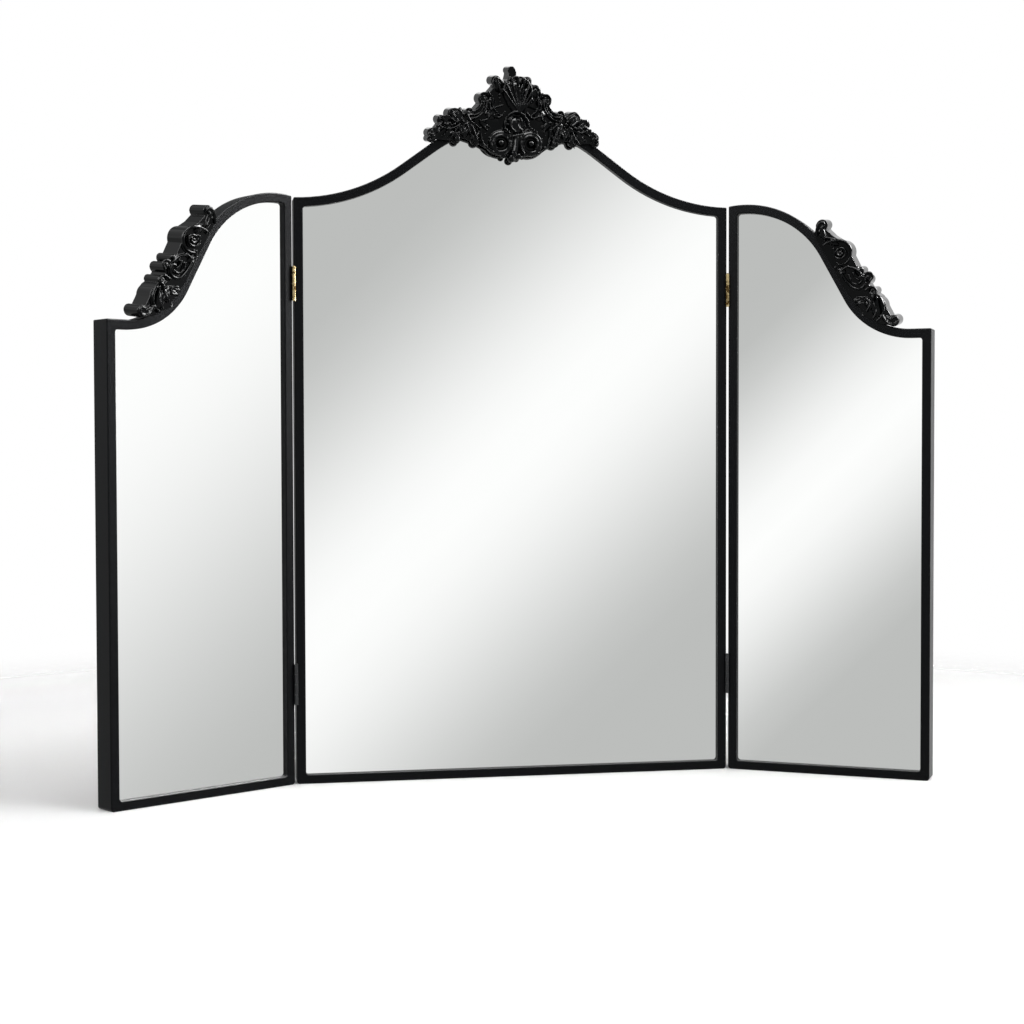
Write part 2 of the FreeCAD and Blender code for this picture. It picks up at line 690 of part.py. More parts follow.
# ---------------------------------------------------------------- right wing, drawn flat
# The S of the wing's head rail: a crown arc, a straight link and a sweep arc.
CROWN_X = "Sizes.wing_peak_offset"
CROWN_Z = "(Sizes.wing_peak - Sizes.wing_crown_radius)"
LINK_RISE = f"({WING_RISE} - {WING_SWEEP} - Sizes.wing_crown_radius)"
LINK_RADII = f"({WING_SWEEP} + Sizes.wing_crown_radius)"
LINK_LEAN = (f"((acos({LINK_RADII} / sqrt({WING_RUN}^2 + {LINK_RISE}^2))"
             f" - atan2({LINK_RISE}; {WING_RUN})) / 1 deg)")
LINK_HALF = "(Sizes.wing_link_length / 2)"
link_wall = f"(Sizes.wing_crown_radius - {WALL})"
link_wall_x = f"({CROWN_X} + {link_wall} * cos({LINK_LEAN}) + {LINK_HALF} * sin({LINK_LEAN}))"
link_wall_z = f"({CROWN_Z} + {link_wall} * sin({LINK_LEAN}) - {LINK_HALF} * cos({LINK_LEAN}))"

hinge_top = (f"({CROWN_Z} + sqrt(Sizes.wing_crown_radius^2 - Sizes.wing_peak_offset^2))")
wing_stations = [("Sizes.wing_width / 3", WALL, "-90"), ("2 * Sizes.wing_width / 3", WALL, "-90")]
for share in ("0.3", "0.7"):
    wing_stations.append((WALL, f"{share} * Sizes.wing_peak", "0"))
    wing_stations.append((f"Sizes.wing_width - {WALL}", f"{share} * Sizes.wing_outer_height", "180"))
wing_stations.append((link_wall_x, link_wall_z, f"180 - {LINK_LEAN}"))

wing_carving_leans = [(f"{LINK_HALF} - 24", LINK_LEAN), (f"{LINK_HALF} + 24", LINK_LEAN)]
wing_carving_spots = carving_spots(CROWN_X, CROWN_Z, link_wall, wing_carving_leans)
wing_corners = [("0", "0", "0", "0"), ("Sizes.wing_width", "0", "0", "-90"),
                ("Sizes.wing_width", "0", "Sizes.wing_outer_height", "180"), ("0", "0", hinge_top, "90")]

wing_pin_x = "(-Sizes.panel_gap / 2)"
wing_cutters = copies(clip_pilot, "wing_clip_pilot", clip_screw_spots(wing_stations))
wing_cutters += copies(carving_pilot, "wing_carving_pilot", wing_carving_spots)
wing_cutters += copies(nail_slot, "wing_nail_slot", wing_corners)
for level, (height, length) in hinge_heights.items():
    spots = on_panel_edge(hinge_screw_spots(height, length, 1), wing_pin_x)
    wing_cutters += copies(hinge_pilot, f"wing_{level}_pilot", spots)
    wing_cutters.append(mortise(f"wing_{level}_mortise", "0", 1, height, length))

wing_ring = boolean("Cut", "wing_ring", frame_blank("wing_blank", wing_outline),
                    fuse("wing_cutters", wing_cutters))
wing_members = split_frame("right_wing", wing_ring, "0", "Sizes.wing_width", hinge_top,
                           "Sizes.wing_outer_height", "Sizes.wing_peak",
                           ("foot_rail", "hinge_stile", "outer_stile", "head_rail"))
wing_glass = slab("right_wing_mirror_glass", wing_outline, PANE_INSET, "Sizes.sight_round", BOARD_FRONT,
                  "Sizes.glass_thickness")
wing_board = slab("right_wing_back_board", wing_outline, PANE_INSET, "Sizes.sight_round", BOARD_BACK,
                  "Sizes.board_thickness")
wing_clips = group("right_wing_board_clips", copies(clip, "wing_clip", clip_spots(wing_stations)))
wing_clip_screws = group("right_wing_clip_screws",
                         copies(clip_screw, "wing_clip_screw", clip_screw_spots(wing_stations)))
wing_nails = group("right_wing_mitre_nails", copies(nail, "wing_nail", wing_corners))
wing_carving_screws = group("right_wing_carving_screws",
                            copies(carving_screw, "wing_carving_screw", wing_carving_spots))
wing_nodes = wing_members + [wing_glass, wing_board, wing_clips, wing_clip_screws, wing_nails,
                             wing_carving_screws]


# ---------------------------------------------------------------- butt hinges
def leaf_hole(name):
    """Cutter for a countersunk hole through a leaf, pointing along +X like the screw."""
    room = "Sizes.screw_clearance"
    far = "Sizes.leaf_thickness + 1"
    return turned_pin(name, [("-1", "0"), ("-1", f"Sizes.hinge_screw_head + {room}"),
                             ("0", f"Sizes.hinge_screw_head + {room}"),
                             ("Sizes.leaf_thickness", f"Sizes.hinge_screw_radius + {room}"),
                             (far, f"Sizes.hinge_screw_radius + {room}"), (far, "0")])


sunk_hole = leaf_hole("sunk_hole")


def hinge_leaf(name, side, height, length):
    """One leaf about the pin: a plate, two of the four knuckles and the bore for the pin."""
    bottom = f"({height} - {length} / 2)"
    knuckle = f"(({length} - 3 * Sizes.knuckle_gap) / 4)"
    pitch = f"({knuckle} + Sizes.knuckle_gap)"
    own, other = ((1, 3), (0, 2)) if side > 0 else ((0, 2), (1, 3))
    body = new_body(f"{name}_body")
    near = f"{side} * Sizes.leaf_play / 2"
    far = f"{side} * (Sizes.leaf_play / 2 + Sizes.leaf_thickness)"
    plan = new_sketch(body, f"{name}_plate", "XY_Plane", bottom)
    polygon(plan, [(near, "0"), (far, "0"), (far, "Sizes.leaf_depth"), (near, "Sizes.leaf_depth")])
    pad(body, plan, length, "Plate")
    for number in other:
        start = f"{bottom} + {number} * {pitch} - Sizes.knuckle_gap"
        room = circle(new_sketch(body, f"{name}_gap_{number}", "XY_Plane", start), "0", "0",
                      "Sizes.barrel_radius + Sizes.knuckle_gap")
        pocket(body, room, f"{knuckle} + 2 * Sizes.knuckle_gap", f"Gap{number}")
    for number in own:
        ring = circle(new_sketch(body, f"{name}_knuckle_{number}", "XY_Plane",
                                 f"{bottom} + {number} * {pitch}"), "0", "0", "Sizes.barrel_radius")
        pad(body, ring, knuckle, f"Knuckle{number}")
    bore = circle(new_sketch(body, f"{name}_bore", "XY_Plane", bottom), "0", "0",
                  "Sizes.pin_radius + Sizes.pin_clearance")
    pocket(body, bore, length, "Bore")
    holes = copies(sunk_hole, f"{name}_hole", hinge_screw_spots(height, length, side))
    return boolean("Cut", name, body, fuse(f"{name}_holes", holes))


def hinge_pin(name, height, length):
    """A pin with a peened head at each end."""
    body = new_body(name)
    low, high = f"{height} - {length} / 2", f"{height} + {length} / 2 + Sizes.knuckle_gap"
    radius, head, rise = "Sizes.pin_radius", "Sizes.pin_head_radius", "Sizes.pin_head_height"
    sketch = polygon(new_sketch(body, f"{name}_profile"), [
        ("0", f"{low} - {rise}"), (head, f"{low} - {rise}"), (head, low), (radius, low),
        (radius, high), (head, high), (head, f"{high} + {rise}"), ("0", f"{high} + {rise}")])
    turned = body.newObject("PartDesign::Revolution", "Turned")
    turned.Profile = sketch
    turned.ReferenceAxis = (sketch, ["V_Axis"])
    turned.Angle = 360
    body.Tip = turned
    doc.recompute()
    return body


for level, (height, length) in hinge_heights.items():
    label = f"{level}_right_hinge"
    centre_leaf = hinge_leaf(f"{label}_centre_leaf", -1, height, length)
    wing_leaf = hinge_leaf(f"{label}_wing_leaf", 1, height, length)
    pin_body = hinge_pin(f"{label}_pin", height, length)
    centre_screws = group(f"{label}_centre_screws",
                          copies(hinge_screw, f"{label}_centre_screw", hinge_screw_spots(height, length, -1)))
    wing_screws = group(f"{label}_wing_screws",
                        copies(hinge_screw, f"{label}_wing_screw", hinge_screw_spots(height, length, 1)))
    for node in (centre_leaf, pin_body, centre_screws):
        bind_place(node, PIN_X, PIN_Y)
        centre_nodes += [node, mirror_left(node.Name.replace("right", "left"), node)]
    for node in (wing_leaf, wing_screws):
        bind_place(node, PIN_X, PIN_Y, "0", (0, 0, 1), f"-{TURN}")
        centre_nodes += [node, mirror_left(node.Name.replace("right", "left"), node)]


# ---------------------------------------------------------------- carved mouldings
OVERRUN_BACK = f"({BACK} + Sizes.carving_overrun)"


def post(name, x, z, radius, proud):
    """A round lobe, overlong at both ends, that is trimmed once the moulding has its lean."""
    lobe = doc.addObject("Part::Cylinder", name)
    bind(lobe, Radius=radius, Height=f"Sizes.frame_depth + {proud} + 2 * Sizes.carving_overrun")
    return bind_place(lobe, x, OVERRUN_BACK, z, (1, 0, 0), "90")


def web(name, corners, proud):
    """The flat body of a moulding, overlong at both ends as its lobes are."""
    body = new_body(name)
    sketch = polygon(new_sketch(body, f"{name}_plan", offset=f"-{OVERRUN_BACK}"), corners)
    pad(body, sketch, f"Sizes.frame_depth + {proud} + 2 * Sizes.carving_overrun")
    return body


def lean_back(name, prism, z, lean, proud):
    """Lean a moulding's body about its face at height z, and trim it at the face and the back.

    Its walls then rise towards the back, which is the draft that lets the casting out of its mould."""
    face = f"({FRONT} - {proud})"
    bind_place(prism, "0", f"{face} * (1 - cos({lean})) + {z} * sin({lean})",
               f"{z} * (1 - cos({lean})) - {face} * sin({lean})", (1, 0, 0), lean)
    block = doc.addObject("Part::Box", f"{name}_block")
    bind(block, Length="Sizes.centre_width", Width=f"Sizes.frame_depth + {proud}", Height="Sizes.centre_width")
    bind_place(block, "-Sizes.centre_width / 2", face, f"{z} - Sizes.centre_width / 2")
    return boolean("Common", name, prism, block)


def petal(name, x, z, length, width, rise, lean, proud):
    """A plump leaf: an egg that is half sunk in the moulding's face, lean degrees above level."""
    egg = doc.addObject("Part::Ellipsoid", name)
    bind(egg, Radius1=width, Radius2=length, Radius3=rise)
    return bind_place(egg, x, f"{FRONT} - {proud}", z, (0, 1, 0), f"-({lean})")


def flute(name, x, z, length, root, tip, lean, proud):
    """A tapering rib of a shell, half sunk in the face, lean degrees above level."""
    rib = doc.addObject("Part::Cone", name)
    bind(rib, Radius1=root, Radius2=tip, Height=length)
    return bind_place(rib, x, f"{FRONT} - {proud}", z, (0, 1, 0), f"90 - ({lean})")


def volute(name, x, z, start, growth, turns, bead_radius, proud):
    """A rolled scroll: a round bead swept along a flat spiral, half sunk in the face."""
    spiral = doc.addObject("Part::Spiral", f"{name}_spiral")
    bind(spiral, Radius=start, Growth=growth)
    spiral.Rotations = turns
    bead = doc.addObject("Part::Circle", f"{name}_bead")
    bind(bead, Radius=bead_radius)
    bead.Placement = FreeCAD.Placement(Vector(), FreeCAD.Rotation(Vector(1, 0, 0), 90))
    bead.setExpression("Placement.Base.x", str(start))
    doc.recompute()
    roll = doc.addObject("Part::Sweep", name)
    roll.Sections = [bead]
    roll.Spine = (spiral, ["Edge1"])
    roll.Solid = True
    return bind_place(roll, x, f"{FRONT} - {proud}", z, (1, 0, 0), "90")


def seat(name, draw):
    """What a moulding is rebated over: the panel's outline, from just before its face back."""
    gap = "Sizes.carving_seat"
    return slab(name, draw, f"-{gap}", "Sizes.top_round", f"({BACK} + 1)", f"Sizes.frame_depth + 1 + {gap}")


def unit(number):
    """A size on the drawing of the carvings, which is squared off in carving units."""
    return f"({number}) * Sizes.carving_unit"


def lobes(name, spots, origin, proud):
    """Round lobes at (x, z, radius) from an origin."""
    return [post(f"{name}_{number}", *origin(x, z), unit(radius), proud)
            for number, (x, z, radius) in enumerate(spots, start=1)]


def petals(name, spots, origin, proud):
    """Leaves at (x, z, half length, half width, rise, lean) from an origin."""
    return [petal(f"{name}_{number}", *origin(x, z), unit(long), unit(wide), unit(rise), lean, proud)
            for number, (x, z, long, wide, rise, lean) in enumerate(spots, start=1)]


# The crest is set out from the apex of the frame.  Its left half is carved a little wider than its
# right one, and each half has its own leaf beside the shell.
PROUD = "Sizes.crest_proud"
LEFT_STRETCH = 1.05
crest_edge = [(4, 61), (9, 49), (23, 45), (42, 22), (57, 4), (64, 1), (84, -1), (99, -10), (111, -26),
              (113, -36), (92, -38), (70, -34), (54, -40), (27, -56)]
crest_lobes = [(42, 22, 8.5), (63, 2, 6), (83, 0, 8.5), (98, -8, 7), (110, -27, 8), (112, -36, 6),
               (80, -37, 6), (54, -38, 6.5), (21, -38, 21.5)]
crest_right_leaf = [(16.5, 48, 6), (27, 35, 8.5)]
crest_left_leaf = [(-27.5, 47, 7)]
crest_petals = [(47, -10, 17, 6, 3.5, 62), (70, -14, 20, 6, 3.5, 18), (90, -14, 18, 6, 3.5, -8),
                (100, -26, 15, 5, 3, -22), (63, -28, 16, 5, 3, -8)]
crest_flute_leans = (54, 66, 78, 90, 102, 114, 126)


def from_apex(x, z):
    return unit(x), f"Sizes.centre_apex + {unit(z)}"


crest_plan = [from_apex(x, z) for x, z in crest_edge]
crest_plan += [from_apex(-LEFT_STRETCH * x, z) for x, z in reversed(crest_edge)]
crest_plan.reverse()
crest_flat = [web("crest_web", crest_plan, PROUD),
              post("crest_tongue", *from_apex(0, -52), unit(12), PROUD),
              post("crest_knob", *from_apex(-2, 61.5), unit(5.5),
                   f"{PROUD} - {unit(7)} - Sizes.carving_overrun")]
crest_flat += lobes("crest_right_lobe", crest_lobes + crest_right_leaf, from_apex, PROUD)
crest_left_lobes = [(-LEFT_STRETCH * x, z, radius) for x, z, radius in crest_lobes]
crest_flat += lobes("crest_left_lobe", crest_left_lobes + crest_left_leaf, from_apex, PROUD)
crest_right = petals("crest_petal", crest_petals, from_apex, PROUD)
crest_right.append(volute("crest_volute", *from_apex(21, -38), unit(4), unit(9), 1.75, unit(3), PROUD))
crest_right = fuse("crest_right_relief", crest_right)
crest_left = mirror_left("crest_left_relief", crest_right)
crest_middle = [petal("crest_boss", *from_apex(0, -14), unit(17), unit(13), unit(5.5), 90, PROUD)]
for number, lean in enumerate(crest_flute_leans, start=1):
    root = from_apex(f"10 * cos({lean})", f"4 + 10 * sin({lean})")
    crest_middle.append(flute(f"crest_flute_{number}", *root, unit(34 - 0.12 * abs(90 - lean)), unit(0.9),
                              unit(4), lean, PROUD))
crest_body = lean_back("crest_body", fuse("crest_flat", crest_flat), "Sizes.centre_apex",
                       "Sizes.crest_lean", PROUD)
crest_blank = merge("crest_joint", [crest_body, crest_right, crest_left, fuse("crest_middle", crest_middle)])
crest_tools = fuse("crest_tools", [seat("crest_seat", centre_outline)]
                   + copies(carving_pilot, "crest_pilot", crest_screw_spots))
crest = boolean("Cut", "crest_carving", crest_blank, crest_tools)
centre_nodes.append(crest)

# The wing's moulding is set out from the middle of the straight part of the S.
LINK_X = f"({CROWN_X} + Sizes.wing_crown_radius * cos({LINK_LEAN}) + {LINK_HALF} * sin({LINK_LEAN}))"
LINK_Z = f"({CROWN_Z} + Sizes.wing_crown_radius * sin({LINK_LEAN}) - {LINK_HALF} * cos({LINK_LEAN}))"
RISE = "Sizes.wing_carving_proud"
wing_edge = [(-25, 67), (-36, 58), (-32, 46), (-8, 6), (8, -24), (32, -54), (56, -71), (74, -74), (74, -67),
             (56, -33), (46, -26), (36, -10), (27, 2), (8, 40), (-10, 52)]
wing_lobes = [(-25, 67, 8), (0, 28, 17), (27, 2, 6.5), (36, -10, 7.5), (46, -26, 6), (47, -48, 16.5),
              (74, -67, 8)]
wing_petals = [(-22, 45, 18, 5, 3, -52), (14, -8, 20, 6, 4, -56), (37, -38, 16, 6, 4, 62),
               (42, -50, 18, 6, 4, 38), (54, -58, 18, 5, 3, -18), (16, 8, 14, 5, 3, -40)]


def from_link(x, z):
    return f"{LINK_X} + {unit(x)}", f"{LINK_Z} + {unit(z)}"


wing_flat = [web("wing_web", [from_link(*corner) for corner in wing_edge], RISE)]
wing_flat += lobes("wing_lobe", wing_lobes, from_link, RISE)
wing_relief = petals("wing_petal", wing_petals, from_link, RISE)
wing_relief.append(volute("wing_volute", *from_link(0, 28), unit(3), unit(6.5), 1.6, unit(2.6), RISE))
wing_carving_body = lean_back("wing_carving_body", fuse("wing_flat", wing_flat), LINK_Z,
                              "Sizes.wing_carving_lean", RISE)
wing_carving_blank = merge("wing_carving_joint", [wing_carving_body, fuse("wing_relief", wing_relief)])
wing_carving_tools = fuse("wing_carving_tools", [seat("wing_seat", wing_outline)]
                          + copies(carving_pilot, "wing_carving_hole", wing_carving_spots))
wing_carving = boolean("Cut", "right_wing_carving", wing_carving_blank, wing_carving_tools)
wing_nodes.append(wing_carving)

# ---------------------------------------------------------------- set the wings on their pins
for node in wing_nodes:
    bind_place(node, WING_X, WING_Y, "0", (0, 0, 1), f"-{TURN}")
left_nodes = [mirror_left(node.Name.replace("right", "left"), node) for node in wing_nodes]
nodes = centre_nodes + wing_nodes + left_nodes
doc.recompute()

# ---------------------------------------------------------------- check and write
for thing in doc.Objects:
    if "Invalid" in thing.State or "Error" in thing.State:
        raise RuntimeError(f"{thing.Name} did not build")
os.makedirs("parts", exist_ok=True)
for node in nodes:
    node.Label = node.Name
    shape = node.Shape
    if shape.isNull() or not shape.isValid() or not shape.Solids:
        raise RuntimeError(f"{node.Label} is not a sound solid")
    shape.exportStep(f"parts/{node.Label}.step")
print(f"{len(nodes)} pieces written")
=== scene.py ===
# %% [markdown]
# # A trifold vanity mirror
# An arched mirror stands on a table between two folding wings. Its black frames are lacquered wood,
# with cast mouldings on the crown and on the shoulders of the wings. The frames, glasses, boards,
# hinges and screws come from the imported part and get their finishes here. The three mouldings are
# carved anew, because scrolls, leaves and beads are what the eye goes to first.

# %% Load the frame
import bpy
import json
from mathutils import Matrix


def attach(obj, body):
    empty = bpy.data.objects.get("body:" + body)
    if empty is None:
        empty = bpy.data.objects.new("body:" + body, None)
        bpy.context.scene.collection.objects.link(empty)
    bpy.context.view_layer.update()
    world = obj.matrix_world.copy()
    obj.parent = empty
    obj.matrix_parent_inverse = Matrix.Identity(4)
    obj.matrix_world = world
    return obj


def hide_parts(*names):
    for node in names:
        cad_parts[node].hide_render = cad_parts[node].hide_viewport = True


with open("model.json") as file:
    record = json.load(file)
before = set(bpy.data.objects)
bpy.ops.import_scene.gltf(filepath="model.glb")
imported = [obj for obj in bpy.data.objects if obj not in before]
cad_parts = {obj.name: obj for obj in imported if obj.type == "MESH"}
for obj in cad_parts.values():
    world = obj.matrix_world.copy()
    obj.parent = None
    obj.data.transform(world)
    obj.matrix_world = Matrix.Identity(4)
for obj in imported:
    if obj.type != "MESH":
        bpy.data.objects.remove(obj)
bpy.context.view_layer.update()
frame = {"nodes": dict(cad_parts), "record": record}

# %% Tools
import json
from math import cos, pi, radians, sin

import bmesh
import bpy
from mathutils import Matrix, Vector

MM = 0.001

# %% [markdown]
# ## The camera
# The camera goes in first, so that every later step can be looked at from the right place. It stands
# a little left of the middle at half the mirror's height, and its long lens keeps the stiles upright.

# %% Camera
CAMERA_PLACE = Vector((-467.09, -2448.38, 446.22)) * MM
CAMERA_YAW = radians(10.7465)
CAMERA_PITCH = radians(1.7752)
CAMERA_ROLL = radians(-0.1421)
SENSOR = 36.0
FOCAL_LENGTH = 62.631


def camera_matrix():
    """The camera's axes: it looks along its own -Z, with +Y up."""
    ahead = Vector((sin(CAMERA_YAW) * cos(CAMERA_PITCH), cos(CAMERA_YAW) * cos(CAMERA_PITCH),
                    -sin(CAMERA_PITCH)))
    level = Vector((cos(CAMERA_YAW), -sin(CAMERA_YAW), 0))
    upright = level.cross(ahead)
    right = level * cos(CAMERA_ROLL) + upright * sin(CAMERA_ROLL)
    up = upright * cos(CAMERA_ROLL) - level * sin(CAMERA_ROLL)
    turn = Matrix((right, up, -ahead)).transposed().to_4x4()
    return Matrix.Translation(CAMERA_PLACE) @ turn


camera = bpy.data.objects.new("camera", bpy.data.cameras.new("camera"))
camera.data.sensor_width = SENSOR
camera.data.lens = FOCAL_LENGTH
camera.matrix_world = camera_matrix()
bpy.context.scene.collection.objects.link(camera)
bpy.context.scene.camera = camera
print("camera at", tuple(round(v, 3) for v in camera.location))

# %% [markdown]
# ## Helpers for materials
# A finish is a small tree of nodes. One function adds a node with its settings and links, and another
# turns a colour that was matched, written as sRGB hex, into the linear numbers shaders use.
# Every pattern is drawn on Object coordinates, which are metres here, so that it keeps its real size
# on each piece, and a third function turns a spacing in millimetres into a noise's scale.

# %% Node and colour helpers


def linear(hex_colour):
    """The linear RGBA of an sRGB colour such as #1A1C1E."""
    shares = [int(hex_colour[place:place + 2], 16) / 255 for place in (1, 3, 5)]
    levels = [share / 12.92 if share <= 0.04045 else ((share + 0.055) / 1.055) ** 2.4
              for share in shares]
    return levels + [1.0]


def add_node(tree, kind, inputs, **settings):
    """Adds a node. inputs gives each socket a value, or a link from another node's output."""
    made = tree.nodes.new(kind)
    for name, value in settings.items():
        setattr(made, name, value)
    for socket, value in inputs.items():
        if isinstance(value, bpy.types.NodeSocket):
            tree.links.new(value, made.inputs[socket])
        else:
            made.inputs[socket].default_value = value
    return made


def start_material(name, shader_inputs):
    """A material with one Principled shader, and the Object coordinates its patterns are drawn on."""
    material = bpy.data.materials.new(name)
    material.use_nodes = True
    tree = material.node_tree
    tree.nodes.clear()
    shader = add_node(tree, "ShaderNodeBsdfPrincipled", shader_inputs)
    add_node(tree, "ShaderNodeOutputMaterial", {"Surface": shader.outputs["BSDF"]})
    place = add_node(tree, "ShaderNodeTexCoord", {})
    return material, tree, shader, place


def per_metre(millimetres):
    """The scale of a noise whose features are that far apart."""
    return 1 / (millimetres * MM)


# %% [markdown]
# ## Black satin lacquer
# The frames are wood under several coats of sprayed black lacquer, rubbed to a satin. The eye gets a
# near black that turns to soft grey wherever the frame looks into the light, a very faint orange peel
# from the spray, and slightly uneven gloss. The paint is opaque, so no grain is drawn.

# %% Black satin lacquer
lacquer, tree, shader, place = start_material(
    "black_satin_lacquer", {"Base Color": linear("#060709"), "IOR": 1.5, "Specular IOR Level": 0.10})
peel = add_node(tree, "ShaderNodeTexNoise",
                {"Vector": place.outputs["Object"], "Scale": per_metre(3.5), "Detail": 2.0})
peel_bump = add_node(tree, "ShaderNodeBump",
                     {"Height": peel.outputs["Fac"], "Strength": 0.25, "Distance": 0.15 * MM})
cloud = add_node(tree, "ShaderNodeTexNoise",
                 {"Vector": place.outputs["Object"], "Scale": per_metre(45), "Detail": 4.0})
gloss = add_node(tree, "ShaderNodeMapRange",
                 {"Value": cloud.outputs["Fac"], "To Min": 0.27, "To Max": 0.40})
tree.links.new(gloss.outputs["Result"], shader.inputs["Roughness"])
tree.links.new(peel_bump.outputs["Normal"], shader.inputs["Normal"])
print("made", lacquer.name)

# %% [markdown]
# ## Cast resin under lacquer
# The mouldings are cast resin with the same lacquer, left glossier. Small crisp highlights run along
# every bead, and the hollows stay black. Castings keep a slight unevenness, drawn as a soft bump.

# %% Cast resin
resin, tree, shader, place = start_material(
    "black_cast_resin", {"Base Color": linear("#050607"), "IOR": 1.5, "Specular IOR Level": 0.12})
ripple = add_node(tree, "ShaderNodeTexNoise",
                  {"Vector": place.outputs["Object"], "Scale": per_metre(7), "Detail": 1.0})
ripple_bump = add_node(tree, "ShaderNodeBump",
                       {"Height": ripple.outputs["Fac"], "Strength": 0.1, "Distance": 0.15 * MM})
gloss = add_node(tree, "ShaderNodeMapRange",
                 {"Value": ripple.outputs["Fac"], "To Min": 0.05, "To Max": 0.12})
tree.links.new(gloss.outputs["Result"], shader.inputs["Roughness"])
tree.links.new(ripple_bump.outputs["Normal"], shader.inputs["Normal"])
print("made", resin.name)

# %% [markdown]
# ## Silvered float glass
# The mirrors are clear float glass, silvered behind. Only the silver is seen, with the faint green of
# the glass over it, so the front is a polished metal. Its edges and back carry the grey paint that
# keeps the silver from tarnishing. The face that is silvered is found from its own normal.

# %% Silvered glass
mirror, tree, shader, place = start_material("silvered_float_glass", {"IOR": 1.5})
facing = add_node(tree, "ShaderNodeVectorMath",
                  {0: place.outputs["Normal"], 1: (0.0, -1.0, 0.0)}, operation="DOT_PRODUCT")
silvered = add_node(tree, "ShaderNodeMath", {0: facing.outputs["Value"], 1: 0.5},
                    operation="GREATER_THAN")
tint = add_node(tree, "ShaderNodeMix", {"Factor": silvered.outputs[0]}, data_type="RGBA")
tint.inputs[6].default_value = linear("#6E7371")
tint.inputs[7].default_value = linear("#FBFCFB")
dust = add_node(tree, "ShaderNodeTexNoise",
                {"Vector": place.outputs["Object"], "Scale": per_metre(80), "Detail": 3.0})
haze = add_node(tree, "ShaderNodeMapRange",
                {"Value": dust.outputs["Fac"], "To Min": 0.0, "To Max": 0.02})
rough = add_node(tree, "ShaderNodeMix", {0: silvered.outputs[0], 2: 0.6, 3: haze.outputs["Result"]})
tree.links.new(tint.outputs[2], shader.inputs["Base Color"])
tree.links.new(silvered.outputs[0], shader.inputs["Metallic"])
tree.links.new(rough.outputs[0], shader.inputs["Roughness"])
print("made", mirror.name)

# %% [markdown]
# ## Hardboard
# The boards behind the glass are tempered hardboard: pressed wood fibre, brown, with a smooth skin and
# a mottle of fibres a few millimetres long.

# %% Hardboard
hardboard, tree, shader, place = start_material(
    "tempered_hardboard", {"Roughness": 0.72, "Specular IOR Level": 0.3})
fibre = add_node(tree, "ShaderNodeTexNoise",
                 {"Vector": place.outputs["Object"], "Scale": per_metre(3), "Detail": 6.0,
                  "Roughness": 0.65})
mottle = add_node(tree, "ShaderNodeMix", {"Factor": fibre.outputs["Fac"]}, data_type="RGBA")
mottle.inputs[6].default_value = linear("#5E4530")
mottle.inputs[7].default_value = linear("#94734F")
fibre_bump = add_node(tree, "ShaderNodeBump",
                      {"Height": fibre.outputs["Fac"], "Strength": 0.3, "Distance": 0.15 * MM})
tree.links.new(mottle.outputs[2], shader.inputs["Base Color"])
tree.links.new(fibre_bump.outputs["Normal"], shader.inputs["Normal"])
print("made", hardboard.name)

# %% [markdown]
# ## Hinge and fastener metals
# The upper hinges are bright rolled brass. Their dark mottle is partly first tarnish and partly
# painted dark reflection, standing in for the dark gap and stiles that the barrel would mirror. The
# lower ones are steel painted with the frame. Clips and hidden screws are zinc plated. They differ
# only in colour, gloss and mottle, so one function makes them all from a few numbers each.

# %% Metals


def plate_metal(name, bright, dull_or_painted_dark, metallic, smooth, coarse, mottle_size):
    """A metal whose colour and gloss wander between two states, from tarnish, plating or painted
    reflection.
    """
    material, tree, shader, place = start_material(name, {"Metallic": metallic})
    stain_and_painted_reflection = add_node(tree, "ShaderNodeTexNoise",
                     {"Vector": place.outputs["Object"], "Scale": per_metre(mottle_size),
                      "Detail": 5.0})
    share = add_node(tree, "ShaderNodeMapRange",
                     {"Value": stain_and_painted_reflection.outputs["Fac"], "From Min": 0.4, "From Max": 0.6})
    colour = add_node(tree, "ShaderNodeMix", {"Factor": share.outputs["Result"]}, data_type="RGBA")
    colour.inputs[6].default_value = linear(bright)
    colour.inputs[7].default_value = linear(dull_or_painted_dark)
    gloss = add_node(tree, "ShaderNodeMapRange",
                     {"Value": share.outputs["Result"], "To Min": smooth, "To Max": coarse})
    bump = add_node(tree, "ShaderNodeBump",
                    {"Height": stain_and_painted_reflection.outputs["Fac"], "Strength": 0.2, "Distance": 0.08 * MM})
    tree.links.new(colour.outputs[2], shader.inputs["Base Color"])
    tree.links.new(gloss.outputs["Result"], shader.inputs["Roughness"])
    tree.links.new(bump.outputs["Normal"], shader.inputs["Normal"])
    print("made", name)
    return material


# On the brass the dark state is partly tarnish and partly painted dark reflection, laid as a mottle.
rolled_brass = plate_metal("rolled_brass", "#E2CC9A", "#4A3718", 1.0, 0.14, 0.32, 5)
turned_brass = plate_metal("turned_brass", "#D8C08C", "#7A6034", 1.0, 0.20, 0.34, 3)
painted_steel = plate_metal("black_painted_steel", "#17181A", "#1F2022", 0.0, 0.30, 0.42, 6)
blackened_steel = plate_metal("blackened_screw_steel", "#2A2B2D", "#1A1B1C", 1.0, 0.35, 0.50, 3)
zinc_plate = plate_metal("zinc_plated_steel", "#C9CBCE", "#A2A5A9", 1.0, 0.28, 0.45, 4)

# %% [markdown]
# ## A finish for every node
# The record says which slot each node has, and each slot stands for one of the finishes above. The
# shape of a node stays as it is, and only its material is exchanged.

# %% Give every node its finish
FINISHES = {"black_lacquered_wood": lacquer, "black_resin": resin, "mirror_glass": mirror,
            "backing_board": hardboard, "brass_hinge": rolled_brass, "black_hinge": painted_steel,
            "brass_screw": turned_brass, "black_screw": blackened_steel, "zinc_steel": zinc_plate}
for subpart in frame["record"]["subparts"]:
    node = frame["nodes"][subpart["node"]]
    for slot in node.material_slots:
        slot.material = FINISHES[subpart["material_slot"]]

